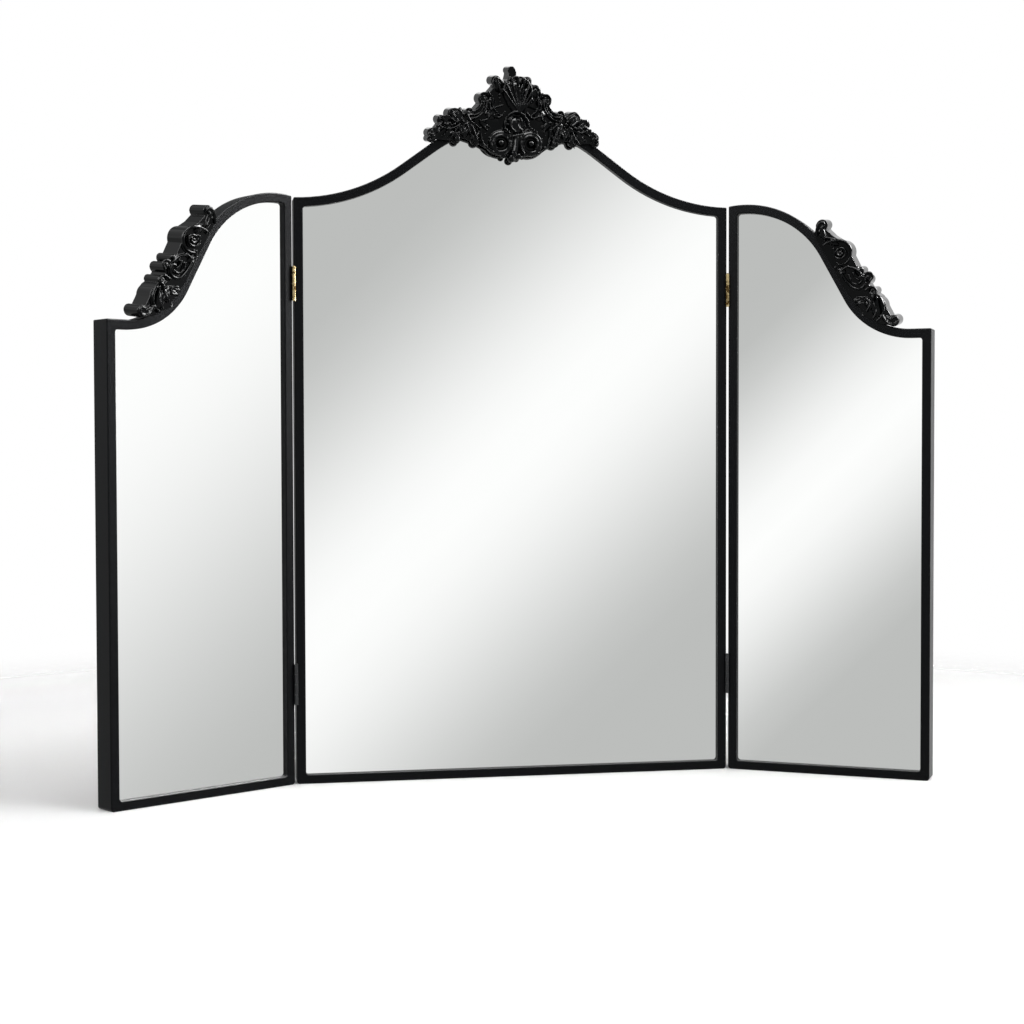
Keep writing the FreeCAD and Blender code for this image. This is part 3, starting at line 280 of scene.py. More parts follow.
# %% [markdown]
# ## Carving tools
# A cast moulding starts as a carver's model: a flat ground, then round beads that roll into scrolls,
# leaves in two halves with a vein between, berries and domes. Each tool below adds one such stroke.
# Berries, domes and the halves of leaves are all balls that were squashed and turned, so a stroke of
# these only notes its matrix, and the balls are poured together at the end. Everything is drawn in
# millimetres in the moulding's own upright plane, x across and z up, with the face towards -y.

# %% Balls and leaves


def add_ball(balls, x, z, radius, depth, rise=None):
    """A ball, or a low dome where rise is given, with its middle at that depth."""
    squashed = Matrix.Diagonal((radius, rise or radius, radius, 1))
    balls.append(Matrix.Translation((x, depth, z)) @ squashed)


# Half a leaf: its distance from the vein and its width, in leaf widths, and its turn from the vein.
HALF_OFF, HALF_WIDE, HALF_TURN = 0.42, 0.58, radians(7)


def add_leaf(balls, x, z, long, wide, rise, lean, depth):
    """A leaf in two swelling halves that meet in a vein, its tip lean degrees above level."""
    turned = Matrix.Translation((x, depth, z)) @ Matrix.Rotation(-radians(lean), 4, "Y")
    for side in (-1, 1):
        beside_vein = Matrix.Translation((0, 0, side * wide * HALF_OFF))
        half_turn = Matrix.Rotation(side * HALF_TURN, 4, "Y")
        half = beside_vein @ half_turn @ Matrix.Diagonal((long, rise, wide * HALF_WIDE, 1))
        balls.append(turned @ half)


# %% [markdown]
# Beads are splines of one curve with a round bevel, so that a scroll needs only a few points and each
# point's radius lets the bead swell or taper. A ball at either end rounds it off.

# %% Beads and scrolls


def start_beads():
    """An empty curve whose splines are round beads."""
    beads = bpy.data.curves.new("beads", "CURVE")
    beads.dimensions = "3D"
    beads.bevel_depth = 1.0
    beads.bevel_resolution = 2
    beads.use_fill_caps = True
    return beads


def add_run(beads, balls, points, radii, depths):
    """A bead along points (x, z), from the first radius and depth to the last, with round ends."""
    spline = beads.splines.new("NURBS")
    spline.points.add(len(points) - 1)
    for number, (x, z) in enumerate(points):
        share = number / (len(points) - 1)
        spline.points[number].co = (x, depths[0] + (depths[1] - depths[0]) * share, z, 1)
        spline.points[number].radius = radii[0] + (radii[1] - radii[0]) * share
    spline.order_u = 3
    spline.use_endpoint_u = True
    spline.resolution_u = 5
    for (x, z), radius, depth in zip((points[0], points[-1]), radii, depths):
        add_ball(balls, x, z, radius, depth)


POINTS_PER_TURN = 10


def scroll_points(x, z, outer, inner, turns, start, way):
    """Points of a scroll that rolls in round (x, z) from angle start, anticlockwise if way is 1."""
    steps = round(turns * POINTS_PER_TURN)
    points = []
    for step in range(steps + 1):
        angle = radians(start) + way * 2 * pi * turns * step / steps
        reach = outer + (inner - outer) * step / steps
        points.append((x + reach * cos(angle), z + reach * sin(angle)))
    return points


# %% [markdown]
# The ground is a copy of the moulding's own solid, so the carving keeps its outline. The copy is
# merged, because a node's mesh is loose triangles, and its front is planed off to leave a level bed.

# %% The ground


def planed_copy(node, upright, front):
    """The node's own solid, merged, stood upright in mm and planed off at the carver's ground."""
    carved = bmesh.new()
    carved.from_mesh(frame["nodes"][node].data)
    bmesh.ops.transform(carved, matrix=upright.inverted(), verts=carved.verts)
    bmesh.ops.remove_doubles(carved, verts=carved.verts, dist=0.005)
    everything = carved.verts[:] + carved.edges[:] + carved.faces[:]
    cut = bmesh.ops.bisect_plane(carved, geom=everything, dist=0.0001, plane_co=(0, front, 0),
                                 plane_no=(0, -1, 0), clear_outer=True)
    rim = [part for part in cut["geom_cut"] if isinstance(part, bmesh.types.BMEdge)]
    bmesh.ops.triangle_fill(carved, use_beauty=True, edges=rim)
    return carved


# %% [markdown]
# ## Casting tools
# All strokes are poured into the ground's bmesh. A voxel remesh then melts them into one skin, as the
# mould does, and a light smoothing takes off the voxel steps. Last, the relief is drawn out a little
# towards the front, which leaves its hollows steep and dark.

# %% A modifier's result


def modified(mesh, kind, **settings):
    """The mesh as one modifier leaves it."""
    holder = bpy.data.objects.new("holder", mesh)
    bpy.context.scene.collection.objects.link(holder)
    modifier = holder.modifiers.new("step", kind)
    for name, value in settings.items():
        setattr(modifier, name, value)
    bpy.context.view_layer.update()
    ready = holder.evaluated_get(bpy.context.evaluated_depsgraph_get())
    result = bpy.data.meshes.new_from_object(ready)
    bpy.data.objects.remove(holder)
    bpy.data.meshes.remove(mesh)
    return result


# %% Pouring the strokes
BATCH = 24
AROUND, RINGS = 16, 10


def pour(carved, balls, beads):
    """Adds all the strokes. Balls come in small batches, as operators slow down in a large bmesh."""
    for first in range(0, len(balls), BATCH):
        batch = bmesh.new()
        for shape in balls[first:first + BATCH]:
            bmesh.ops.create_uvsphere(batch, u_segments=AROUND, v_segments=RINGS, radius=1,
                                      matrix=shape)
        poured = bpy.data.meshes.new("balls")
        batch.to_mesh(poured)
        batch.free()
        carved.from_mesh(poured)
        bpy.data.meshes.remove(poured)
    holder = bpy.data.objects.new("beads", beads)
    poured = bpy.data.meshes.new_from_object(holder)
    carved.from_mesh(poured)
    bpy.data.objects.remove(holder)
    bpy.data.curves.remove(beads)
    bpy.data.meshes.remove(poured)


# %% Melting and casting
UNDERCUT = 1.35
VOXEL = 0.65


def melt(carved, ground, voxel, most):
    """One skin over all the strokes, smoothed, and thinned to at most that many triangles.

    What stands in front of the ground is drawn out by UNDERCUT, which leaves the hollows steep.
    """
    strokes = bpy.data.meshes.new("strokes")
    carved.to_mesh(strokes)
    carved.free()
    melted = modified(strokes, "REMESH", mode="VOXEL", voxel_size=voxel)
    smooth = modified(melted, "SMOOTH", factor=0.4, iterations=2)
    triangles = sum(len(face.vertices) - 2 for face in smooth.polygons)
    thin = modified(smooth, "DECIMATE", ratio=min(1.0, most / triangles))
    skin = bmesh.new()
    skin.from_mesh(thin)
    bpy.data.meshes.remove(thin)
    drawn_out = (Matrix.Translation((0, ground, 0)) @ Matrix.Diagonal((1, UNDERCUT, 1, 1))
                 @ Matrix.Translation((0, -ground, 0)))
    relief = [vert for vert in skin.verts if vert.co.y < ground]
    bmesh.ops.transform(skin, matrix=drawn_out, verts=relief)
    return skin


def cast(skin, name, placed, body, node):
    """Sets the finished skin in its place on the body, in metres, standing for its plain node."""
    bmesh.ops.transform(skin, matrix=placed, verts=skin.verts)
    bmesh.ops.recalc_face_normals(skin, faces=skin.faces)
    mesh = bpy.data.meshes.new(name)
    skin.to_mesh(mesh)
    mesh.shade_smooth()
    mesh.materials.append(resin)
    piece = bpy.data.objects.new(name, mesh)
    bpy.context.scene.collection.objects.link(piece)
    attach(piece, body)
    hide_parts(node)
    print(name, sum(len(face.vertices) - 2 for face in mesh.polygons), "triangles")
    return piece


# %% [markdown]
# ## The crest
# The crest is a scallop shell over two volutes. A beaded boss sits between them, arms sweep out to
# berried leaves, and a lobed tongue hangs below. The ground is the node's own outline, planed deeper
# than its face, so that every bead stands clear of a dark hollow. Three touches bring the outline
# nearer to a carver's: the underside below a level line is drawn up a little, the knob on top stands
# over to the left, and its foot is narrowed to match. The solid leans back, so heights are compared
# as they would be at its face.

# %% Crest: ground
CREST_GROUND, CREST_FACE = -22.5, -26.5
TRIM_LINE, TRIM = 900, 0.87
LEAN = 0.2116
KNOB_LEVEL, KNOB_HALF, KNOB_SHIFT = 970, 8, -3.5
FOOT_LOW, FOOT_HIGH, FOOT_HALF, FOOT_RIGHT = 963.8, 964.4, 9.6, 0.8
crest_upright = Matrix.Diagonal((MM, MM, MM, 1))
crest = planed_copy("crest_carving", crest_upright, CREST_GROUND)
trimmed = (Matrix.Translation((0, 0, TRIM_LINE)) @ Matrix.Diagonal((1, 1, TRIM, 1))
           @ Matrix.Translation((0, 0, -TRIM_LINE)))
underside = [corner for corner in crest.verts if corner.co.z < TRIM_LINE]
bmesh.ops.transform(crest, matrix=trimmed, verts=underside)
for corner in crest.verts:
    level = corner.co.z - LEAN * (corner.co.y - CREST_FACE)
    if abs(corner.co.x) < KNOB_HALF and level > KNOB_LEVEL:
        corner.co.x += KNOB_SHIFT
    elif abs(corner.co.x) < FOOT_HALF and FOOT_LOW < level < FOOT_HIGH:
        corner.co.x = FOOT_RIGHT if corner.co.x > 0 else corner.co.x + KNOB_SHIFT / 2
print(len(underside), "of", len(crest.verts), "corners drawn up")

# %% [markdown]
# The strokes of the whole crest are noted first. A small helper sets a bead by how far it stands proud
# of the crest's ground, and puts it on the left where its side is negative.

# %% Crest: its strokes
crest_balls = []
crest_beads = start_beads()


def crest_run(points, radii, proud, side=1):
    """A bead on the crest, whose axis stands so many mm proud of the ground at each end."""
    placed = [(side * x, z) for x, z in points]
    add_run(crest_beads, crest_balls, placed, radii, [CREST_GROUND - height for height in proud])


# %% [markdown]
# The shell is a swelling ground of three domes. Its ribs fan out from one root and widen to the rim,
# where a lobe ends each rib and a short bead joins it to the next.

# %% Crest: shell
SHELL_ROOT = (5, 918)
SHELL_RIBS = [(50, 25), (61, 34), (72, 42), (83, 47), (94, 49), (105, 48.5), (116, 45), (127, 38)]
SHELL_DOMES = [(-1, 947, 18, 5.4), (1, 938, 16, 5.4), (2.5, 928, 11, 5.0)]
RIB_SHARES = (0.08, 0.4, 0.7, 1.0)
BULGE_OUT, BULGE_UP = 1.06, 2.4
for x, z, radius, rise in SHELL_DOMES:
    add_ball(crest_balls, x, z, radius, CREST_GROUND, rise)
tips = []
for lean, reach in SHELL_RIBS:
    across, up = cos(radians(lean)), sin(radians(lean))
    rib = [(SHELL_ROOT[0] + across * share * reach, SHELL_ROOT[1] + up * share * reach)
           for share in RIB_SHARES]
    crest_run(rib, radii=(0.6, 1.7), proud=(5.0, 6.0))
    add_ball(crest_balls, *rib[-1], 3.4, CREST_GROUND, rise=5.0)
    tips.append(rib[-1])
for (x1, z1), (x2, z2) in zip(tips, tips[1:]):
    bulge = ((x1 + x2) / 2 * BULGE_OUT, (z1 + z2) / 2 + BULGE_UP)
    crest_run([(x1, z1), bulge, (x2, z2)], radii=(1.3, 1.3), proud=(5.8, 5.8))
print(len(tips), "ribs in the shell")

# %% [markdown]
# The boss is a round dome under an arched bead, with berries at its rim and curls across its face. The
# tongue hangs from it between the volutes and curls to the left into four lobes.

# %% Crest: boss and tongue
BOSS_ARCH = [(-16.5, 897), (-16.5, 906), (-13, 914), (-6, 919), (1, 920.5), (8, 918), (13.5, 913),
             (16.5, 907)]
BOSS_BERRIES = [(-14.5, 905.5, 1.6), (-12.5, 902.5, 1.5), (16.8, 903.5, 1.7), (18.6, 899.8, 1.8),
                (21.5, 897.6, 1.5), (25, 895.6, 1.5), (28.4, 893.2, 1.5)]
BOSS_RUNS = [[(1, 909), (0.5, 903), (3, 898.5), (8, 894.5)],
             [(-8, 910), (-9.5, 903), (-7, 896.5), (-2, 893)],
             [(5.5, 911), (8.5, 905), (8, 900)], [(-15, 896), (-12.5, 893), (-9.5, 890.8)],
             [(-6.5, 886.5), (1, 887.6), (9, 890)]]
TONGUE_RUNS = [([(0, 886), (-0.5, 874), (-3, 863)], (4.2, 5.0), (1.5, 1.5)),
               ([(5.6, 886), (5.6, 877), (7, 869), (11, 863)], (1.5, 1.5), (4, 4)),
               ([(-5.8, 885), (-6.2, 876), (-9.5, 867), (-15.5, 861.5)], (1.4, 1.5), (4, 4))]
TONGUE_LOBES = [(-6.5, 857.2, 5.8), (-17.5, 861, 4.4), (4.6, 860.6, 4.6), (12.8, 863, 3.4)]
BOSS_BERRY_PROUD, LOBE_RISE = 4.0, 0.85
add_ball(crest_balls, -0.5, 901, 13.5, CREST_GROUND, rise=6.0)
crest_run(BOSS_ARCH, radii=(1.5, 1.5), proud=(4.2, 4.2))
for x, z, radius in BOSS_BERRIES:
    add_ball(crest_balls, x, z, radius, CREST_GROUND - BOSS_BERRY_PROUD)
for points in BOSS_RUNS:
    crest_run(points, radii=(1.4, 1.2), proud=(5.4, 4.8))
for points, radii, proud in TONGUE_RUNS:
    crest_run(points, radii, proud)
for x, z, radius in TONGUE_LOBES:
    add_ball(crest_balls, x, z, radius, CREST_GROUND, rise=radius * LOBE_RISE)
print(len(BOSS_RUNS), "strokes on the boss,", len(TONGUE_LOBES), "lobes on the tongue")

# %% [markdown]
# The arms are listed once, for the right side. A run is its points with its first and last radius, a
# leaf its place, length, width, rise and lean, and a berry its place and radius. Edge berries follow
# the arm's outer end. Domes lie under the thickest parts, so that the ground swells there.

# %% Crest: strokes of an arm
ARM_RUNS = [
    ([(37.3, 946.3), (32.8, 941.2), (30.7, 936), (31.6, 927.3), (29.3, 922), (21.3, 916)], 1.5, 1.3),
    ([(38.4, 934), (39.3, 923.6), (45.5, 915.9), (53.5, 910.1), (60, 909.5)], 1.5, 1.2),
    ([(42.4, 930.6), (43, 924.6), (47.5, 918), (54, 914), (62, 914.5)], 1.2, 1.1),
    ([(46, 930), (48, 924.5), (54.3, 919.6), (62, 917)], 1.1, 1.0),
    ([(35.5, 931), (33.8, 921), (36, 912.5), (39.2, 907.9), (48, 906.5)], 1.3, 1.2),
    ([(64.1, 913.2), (62.4, 908), (58.8, 903.8), (51.7, 899.7), (47.2, 894.6)], 1.7, 1.3),
    ([(15.2, 920.2), (18.5, 914.5), (23.2, 911.7), (28, 913), (33, 915.5)], 1.2, 1.1),
    ([(17.9, 929), (24, 927.5), (33, 923.4)], 1.1, 1.0),
    ([(58.5, 899), (56, 891), (53, 885), (51, 879)], 1.7, 1.4),
    ([(64, 899), (61.5, 890), (57.5, 882)], 1.2, 1.0),
    ([(78.4, 903.1), (85.6, 908.1), (92, 913)], 1.1, 1.2),
    ([(76.5, 904.5), (81, 910.5), (84, 916)], 1.1, 1.1),
    ([(74, 901.4), (79.4, 897.2), (86.5, 894.8), (93, 894.1), (99, 897)], 1.1, 1.0),
    ([(76, 899), (81, 891), (84.7, 884.3), (89, 879)], 1.2, 1.0),
    ([(36.5, 944), (42, 946), (47.6, 943), (49, 937), (45.4, 931.8), (40.8, 933), (41.5, 937.5)],
     1.4, 1.0),
    ([(47, 897), (47.5, 887), (44.5, 876), (37.5, 867.5), (28, 863), (18, 863)], 1.6, 1.4),
    ([(58, 917), (58.5, 922), (63, 923.5), (67.5, 921), (68, 915.5)], 1.2, 1.0),
    ([(70, 914.5), (73, 919), (78, 921.8), (84.5, 922.5), (88, 918)], 1.3, 1.0),
    ([(90, 912), (96, 912), (101.5, 910), (101, 905)], 1.1, 1.0),
]
ARM_LEAVES = [(80, 912, 11, 6, 3.6, 48), (93.5, 908, 10.5, 4.6, 3.4, 25),
              (103, 895, 12, 4.5, 3.2, -38), (73, 896, 10, 4.5, 3.2, 60),
              (88, 890, 12, 4.5, 3.0, -34), (67, 891, 8, 4, 3.4, -70),
              (54, 886, 9, 4.5, 3.2, -66), (43, 902, 9, 3.5, 2.6, 40),
              (78.5, 887.5, 7.5, 4.5, 3.2, -80)]
ARM_BERRIES = [(82, 901, 2.0), (85.6, 899.4, 1.7), (88, 902, 1.8), (91.5, 900, 1.9),
               (94.6, 901.8, 1.6), (70, 905.5, 1.9), (67.5, 901.5, 1.7), (71.5, 908.8, 1.5),
               (22.5, 943, 1.9), (21.8, 938, 1.7), (21, 933.6, 1.5), (38.8, 894, 1.7),
               (41, 889, 1.6), (36.2, 884.3, 1.6), (35.4, 879, 1.6), (38.7, 873, 1.7),
               (48.1, 907, 1.5), (99, 897, 1.6), (102.6, 890.5, 1.6)]
EDGE_BERRIES = [(104.6, 898.2), (108.6, 894.8), (112, 891.2), (114.6, 887.3), (115, 883.1),
                (111.4, 886.2), (114, 878.8), (111.5, 875.2)]
EDGE_BERRY_RADIUS = 1.9
ARM_DOMES = [(63, 917, 5, 3.4), (42, 938, 6.5, 3.0), (52, 879.5, 5, 3.6), (78, 881.5, 5, 3.4),
             (33, 934, 5, 2.5), (111, 886, 5.5, 3.0), (60, 899, 9, 3.0), (33, 917, 8, 2.6),
             (90, 899, 7, 2.6)]
all_berries = ARM_BERRIES + [(x, z, EDGE_BERRY_RADIUS) for x, z in EDGE_BERRIES]
print(len(ARM_RUNS), "runs,", len(ARM_LEAVES), "leaves and", len(all_berries), "berries in an arm")

# %% [markdown]
# Both sides get the same strokes, and the left ones are stretched by a few hundredths, because hand
# work is never quite even. A volute is one thick bead that rolls in to a round eye, with a thin bead
# round its rim.

# %% Crest: both sides
LEFT_STRETCH = 1.05
BERRY_PROUD = 2.8
EYE = (20.6, 877.3)
RIM_LEVEL = 878.6
for side in (1, -LEFT_STRETCH):
    for points, first, last in ARM_RUNS:
        crest_run(points, (first, last), (3, 3), side)
    for x, z, long, wide, rise, lean in ARM_LEAVES:
        facing = lean if side > 0 else 180 - lean
        add_leaf(crest_balls, side * x, z, long, wide, rise, facing, CREST_GROUND)
    for x, z, radius in all_berries:
        add_ball(crest_balls, side * x, z, radius, CREST_GROUND - BERRY_PROUD)
    for x, z, radius, rise in ARM_DOMES:
        add_ball(crest_balls, side * x, z, radius, CREST_GROUND, rise)
    roll = scroll_points(*EYE, outer=15.6, inner=9.0, turns=1.55, start=150, way=-1)
    crest_run(roll, radii=(3.3, 2.0), proud=(1, 3.5), side=side)
    rim = scroll_points(EYE[0], RIM_LEVEL, outer=18.6, inner=18.2, turns=0.62, start=100, way=1)
    crest_run(rim, radii=(1.3, 1.2), proud=(2, 2), side=side)
    add_ball(crest_balls, side * EYE[0], EYE[1], 5.0, CREST_GROUND - 2.0, rise=5.2)
print(len(crest_balls), "balls and", len(crest_beads.splines), "beads so far")

# %% [markdown]
# Beside the shell the two sides differ: a small leaf over two curls on the right, and a tall curled
# leaf on the left. The left arm also has one more leaf at its top.

# %% Crest: beside the shell
add_leaf(crest_balls, 17.5, 962, long=7.5, wide=3.6, rise=2.6, lean=62, depth=CREST_GROUND)
crest_run([(22, 956), (27, 957), (33, 953), (34.5, 946)], radii=(1.3, 1.1), proud=(3, 3))
crest_run([(24, 950), (29, 950), (31, 944), (29, 939)], radii=(1.5, 1.1), proud=(3, 3))
add_ball(crest_balls, 28, 949, 7.5, CREST_GROUND, rise=3.2)
add_leaf(crest_balls, -25.5, 958, long=10.5, wide=5.0, rise=4.2, lean=104, depth=CREST_GROUND)
crest_run([(-26.5, 966), (-25.5, 959), (-24, 953), (-21.5, 946)], radii=(1.5, 1.2), proud=(4, 4))
crest_run([(-32, 953), (-33, 962), (-28.5, 967.3), (-22.5, 964), (-15.5, 957)],
          radii=(1.3, 1.2), proud=(3, 3))
add_leaf(crest_balls, -77.5, 917, long=8.3, wide=4.0, rise=3.2, lean=94, depth=CREST_GROUND)
add_ball(crest_balls, -79, 911, 7, CREST_GROUND, rise=3.2)
print(len(crest_balls), "balls and", len(crest_beads.splines), "beads")

# %% [markdown]
# Ground and strokes melt into one skin, which is thinned so that the model stays light. The casting
# rides on the centre panel and stands for its plain solid.

# %% Crest: cast
CREST_TRIANGLES = 190000
pour(crest, crest_balls, crest_beads)
crest_skin = melt(crest, CREST_GROUND, VOXEL, CREST_TRIANGLES)
cast(crest_skin, "carved_crest", crest_upright, "centre_panel", "crest_carving")

# %% [markdown]
# ## The shoulder mouldings
# Each wing carries a chain of scrolls down its S-curve: a rolled head, a large C-scroll, three lobes
# and a ribbed leaf that ends in a small scroll. It is carved once, in the right wing's own upright
# plane, and the left one is its mirror image. The lists have the same order of numbers as the crest's.

# %% Shoulders: strokes
SHOULDER_RUNS = [
    ([(126, 752), (126, 760), (129, 768), (134.5, 771), (138, 766.5), (134.5, 762.5)], 2.0, 1.4),
    ([(131, 750), (132.5, 756), (133, 762)], 1.3, 1.1),
    ([(136.2, 737.7), (140.9, 742.5), (149.6, 744)], 1.4, 1.8),
    ([(139, 748.5), (148, 747), (156, 745)], 1.7, 1.5),
    ([(149.6, 743.4), (158, 745), (167, 741.5), (173.3, 734.6), (174.9, 726.7), (172.5, 717.3),
      (166, 710.5), (158, 710.5)], 2.4, 1.5),
    ([(155.2, 713), (154.4, 707), (156, 703)], 1.7, 1.3),
    ([(159.2, 700.5), (164, 705), (170.2, 708)], 1.4, 1.6),
    ([(171.5, 706.5), (178, 705.5), (184, 702), (188, 697)], 1.8, 1.5),
    ([(161, 698), (166, 690), (170.3, 684.3), (178.2, 676.8), (187.7, 675.6), (193.6, 681),
      (194, 689.6), (190, 694), (185.5, 692)], 2.2, 1.4),
    ([(171, 696), (173, 688.5), (178, 683), (185, 682.3), (188.6, 686.5)], 1.6, 1.2),
    ([(177, 698.5), (179, 691), (184.5, 688.6)], 1.5, 1.1),
    ([(194, 696.5), (199, 699.3), (204, 696), (205, 690), (200.5, 686.5)], 1.7, 1.3),
    ([(194, 673.9), (198.5, 677.8), (204.5, 679), (209, 675), (208.5, 668.5), (203, 667), (200, 670)],
     1.7, 1.2),
    ([(182.9, 664.8), (189.3, 665.5), (193.6, 660), (191.5, 654.6), (184.6, 655.3)], 1.6, 1.2),
    ([(203.5, 665), (203.4, 656.1), (198.8, 650), (196, 645)], 1.7, 1.2),
    ([(209.8, 663), (212.3, 652.6), (209.7, 641.7), (205, 636)], 1.8, 1.3),
    ([(214.5, 663), (219, 655), (219.8, 646), (217, 637), (210, 631.5)], 1.9, 1.4),
    ([(218, 638), (221.5, 630.5), (227, 626.2), (233.5, 625.4), (238.3, 629.4), (238, 635),
      (233.8, 637), (230.8, 633.8)], 2.0, 1.3),
]
SHOULDER_LEAVES = [(134, 755, 12, 4.5, 2.8, -62), (160, 704, 9, 4, 2.6, -40),
                   (184, 700, 8, 3.5, 2.6, -60), (187, 660, 9, 4.5, 2.8, 20),
                   (208, 650, 15, 7, 3.6, -72), (198, 655, 10, 4, 2.8, -60),
                   (205, 672.5, 5, 4, 2.6, 20), (226, 632, 8, 4, 2.6, -30),
                   (149, 741, 9, 3.5, 2.6, -20)]
SHOULDER_DOMES = [(131, 765.5, 6.5, 2.6), (188, 703, 3.6, 3.0), (199, 692, 5.5, 2.6),
                  (233, 631.5, 5.5, 2.6), (204, 672.5, 5, 2.4)]
print(len(SHOULDER_RUNS), "runs and", len(SHOULDER_LEAVES), "leaves on a shoulder")

# %% [markdown]
# The right wing stands turned on its hinge, so the moulding is stood upright by undoing that turn,
# carved there, and cast back in its place. All its beads stand equally proud, but for the roll of the
# C-scroll, which climbs towards its eye.

# %% Shoulders: carved
WING_GROUND = -18.2
WING_PLACE = Vector((315.991, -3.141, 0))
WING_TURN = radians(-31.9)
BEAD_PROUD, EYE_PROUD = 2.4, 3.4
SCROLL_EYE = (159.5, 727)
wing_upright = crest_upright @ Matrix.Translation(WING_PLACE) @ Matrix.Rotation(WING_TURN, 4, "Z")
shoulder = planed_copy("right_wing_carving", wing_upright, WING_GROUND)
shoulder_balls = []
shoulder_beads = start_beads()
for points, first, last in SHOULDER_RUNS:
    add_run(shoulder_beads, shoulder_balls, points, (first, last), (WING_GROUND - BEAD_PROUD,) * 2)
for x, z, long, wide, rise, lean in SHOULDER_LEAVES:
    add_leaf(shoulder_balls, x, z, long, wide, rise, lean, WING_GROUND)
for x, z, radius, rise in SHOULDER_DOMES:
    add_ball(shoulder_balls, x, z, radius, WING_GROUND, rise)
roll = scroll_points(*SCROLL_EYE, outer=10.5, inner=3.5, turns=1.5, start=150, way=1)
add_run(shoulder_beads, shoulder_balls, roll, radii=(2.0, 1.4),
        depths=(WING_GROUND - BEAD_PROUD, WING_GROUND - EYE_PROUD))
add_ball(shoulder_balls, *SCROLL_EYE, 3.2, WING_GROUND - 2)
print(len(shoulder_balls), "balls and", len(shoulder_beads.splines), "beads")

# %% [markdown]
# The left shoulder is a copy of the finished skin, mirrored across the middle of the whole mirror. The
# mirroring turns its faces inside out, and casting finds their normals again.

# %% Shoulders: cast
SHOULDER_TRIANGLES = 120000
pour(shoulder, shoulder_balls, shoulder_beads)
shoulder_skin = melt(shoulder, WING_GROUND, VOXEL, SHOULDER_TRIANGLES)
left_skin = shoulder_skin.copy()
flip = Matrix.Diagonal((-1, 1, 1, 1))
cast(shoulder_skin, "carved_right_shoulder", wing_upright, "right_wing", "right_wing_carving")
cast(left_skin, "carved_left_shoulder", flip @ wing_upright, "left_wing", "left_wing_carving")

# %% [markdown]
# ## Floor
# The mirror stands on a plain pale floor that fades out, with nothing behind. The fade is by distance
# from the middle, so it keeps the shadow near the feet and shows no edge. Glossy rays pass through the
# floor, so that the glasses show only the studio.

# %% Floor
FLOOR_RADIUS = 2.6
FADE_START, FADE_END = 0.8, 1.9
floor_plan = bmesh.new()
bmesh.ops.create_circle(floor_plan, cap_ends=True, segments=96, radius=FLOOR_RADIUS)
floor_mesh = bpy.data.meshes.new("floor")
floor_plan.to_mesh(floor_mesh)
floor_plan.free()
floor = bpy.data.objects.new("floor", floor_mesh)
bpy.context.scene.collection.objects.link(floor)
pale, tree, shader, place = start_material(
    "pale_floor", {"Base Color": linear("#F4F4F3"), "Roughness": 0.9})
distance = add_node(tree, "ShaderNodeVectorMath", {0: place.outputs["Object"]}, operation="LENGTH")
fade = add_node(tree, "ShaderNodeMapRange",
                {"Value": distance.outputs["Value"], "From Min": FADE_START, "From Max": FADE_END},
                interpolation_type="SMOOTHSTEP")
rays = add_node(tree, "ShaderNodeLightPath", {})
unseen = add_node(tree, "ShaderNodeMath",
                  {0: fade.outputs["Result"], 1: rays.outputs["Is Glossy Ray"]}, operation="MAXIMUM")
clear = add_node(tree, "ShaderNodeBsdfTransparent", {})
blend = add_node(tree, "ShaderNodeMixShader",
                 {0: unseen.outputs[0], 1: shader.outputs["BSDF"], 2: clear.outputs["BSDF"]})
output = next(n for n in tree.nodes if n.type == "OUTPUT_MATERIAL")
tree.links.new(blend.outputs["Shader"], output.inputs["Surface"])
floor_mesh.materials.append(pale)
print("floor of", FLOOR_RADIUS, "m")

# %% [markdown]
# ## The studio in the glasses
# What the glasses look into matters as much as the light. It is a pale grey studio wall with soft
# slanting bands of white, and a darker stretch far round behind the left wing. The bands are drawn by
# the direction that a ray leaves in: its azimuth in degrees, 0 straight to the front and growing to
# the right, shifted by its height so that they slant. Each stop is where, and which colour.

# %% Studio wall
BASE_GREY, BACK_GREY = linear("#BFC0BF"), linear("#858686")
WHITE = [1.02, 1.02, 1.02, 1.0]
BAND_TILT = 1.05
BAND_START, BAND_END = -180.0, 180.0
BAND_STOPS = [(-150.0, BACK_GREY), (-120.0, BASE_GREY), (-50.0, BASE_GREY), (-42.3, WHITE),
              (-34.6, BASE_GREY), (-1.0, BASE_GREY), (10.7, WHITE), (22.3, BASE_GREY),
              (40.0, BASE_GREY), (50.0, WHITE), (59.5, WHITE), (77.5, BASE_GREY), (95.0, BASE_GREY),
              (118.0, WHITE)]
world = bpy.data.worlds.new("studio")
bpy.context.scene.world = world
world.use_nodes = True
tree = world.node_tree
tree.nodes.clear()
sight = add_node(tree, "ShaderNodeTexCoord", {})
split = add_node(tree, "ShaderNodeSeparateXYZ", {0: sight.outputs["Generated"]})
towards = add_node(tree, "ShaderNodeMath", {0: split.outputs["Y"], 1: -1.0}, operation="MULTIPLY")
around = add_node(tree, "ShaderNodeMath", {0: split.outputs["X"], 1: towards.outputs[0]},
                  operation="ARCTAN2")
height = add_node(tree, "ShaderNodeMath", {0: split.outputs["Z"]}, operation="ARCSINE")
slant = add_node(tree, "ShaderNodeMath", {0: height.outputs[0], 1: -BAND_TILT, 2: around.outputs[0]},
                 operation="MULTIPLY_ADD")
band = add_node(tree, "ShaderNodeMapRange",
                {"Value": slant.outputs[0], "From Min": radians(BAND_START),
                 "From Max": radians(BAND_END)})
wall = add_node(tree, "ShaderNodeValToRGB", {"Fac": band.outputs["Result"]})
wall.color_ramp.interpolation = "EASE"
elements = wall.color_ramp.elements
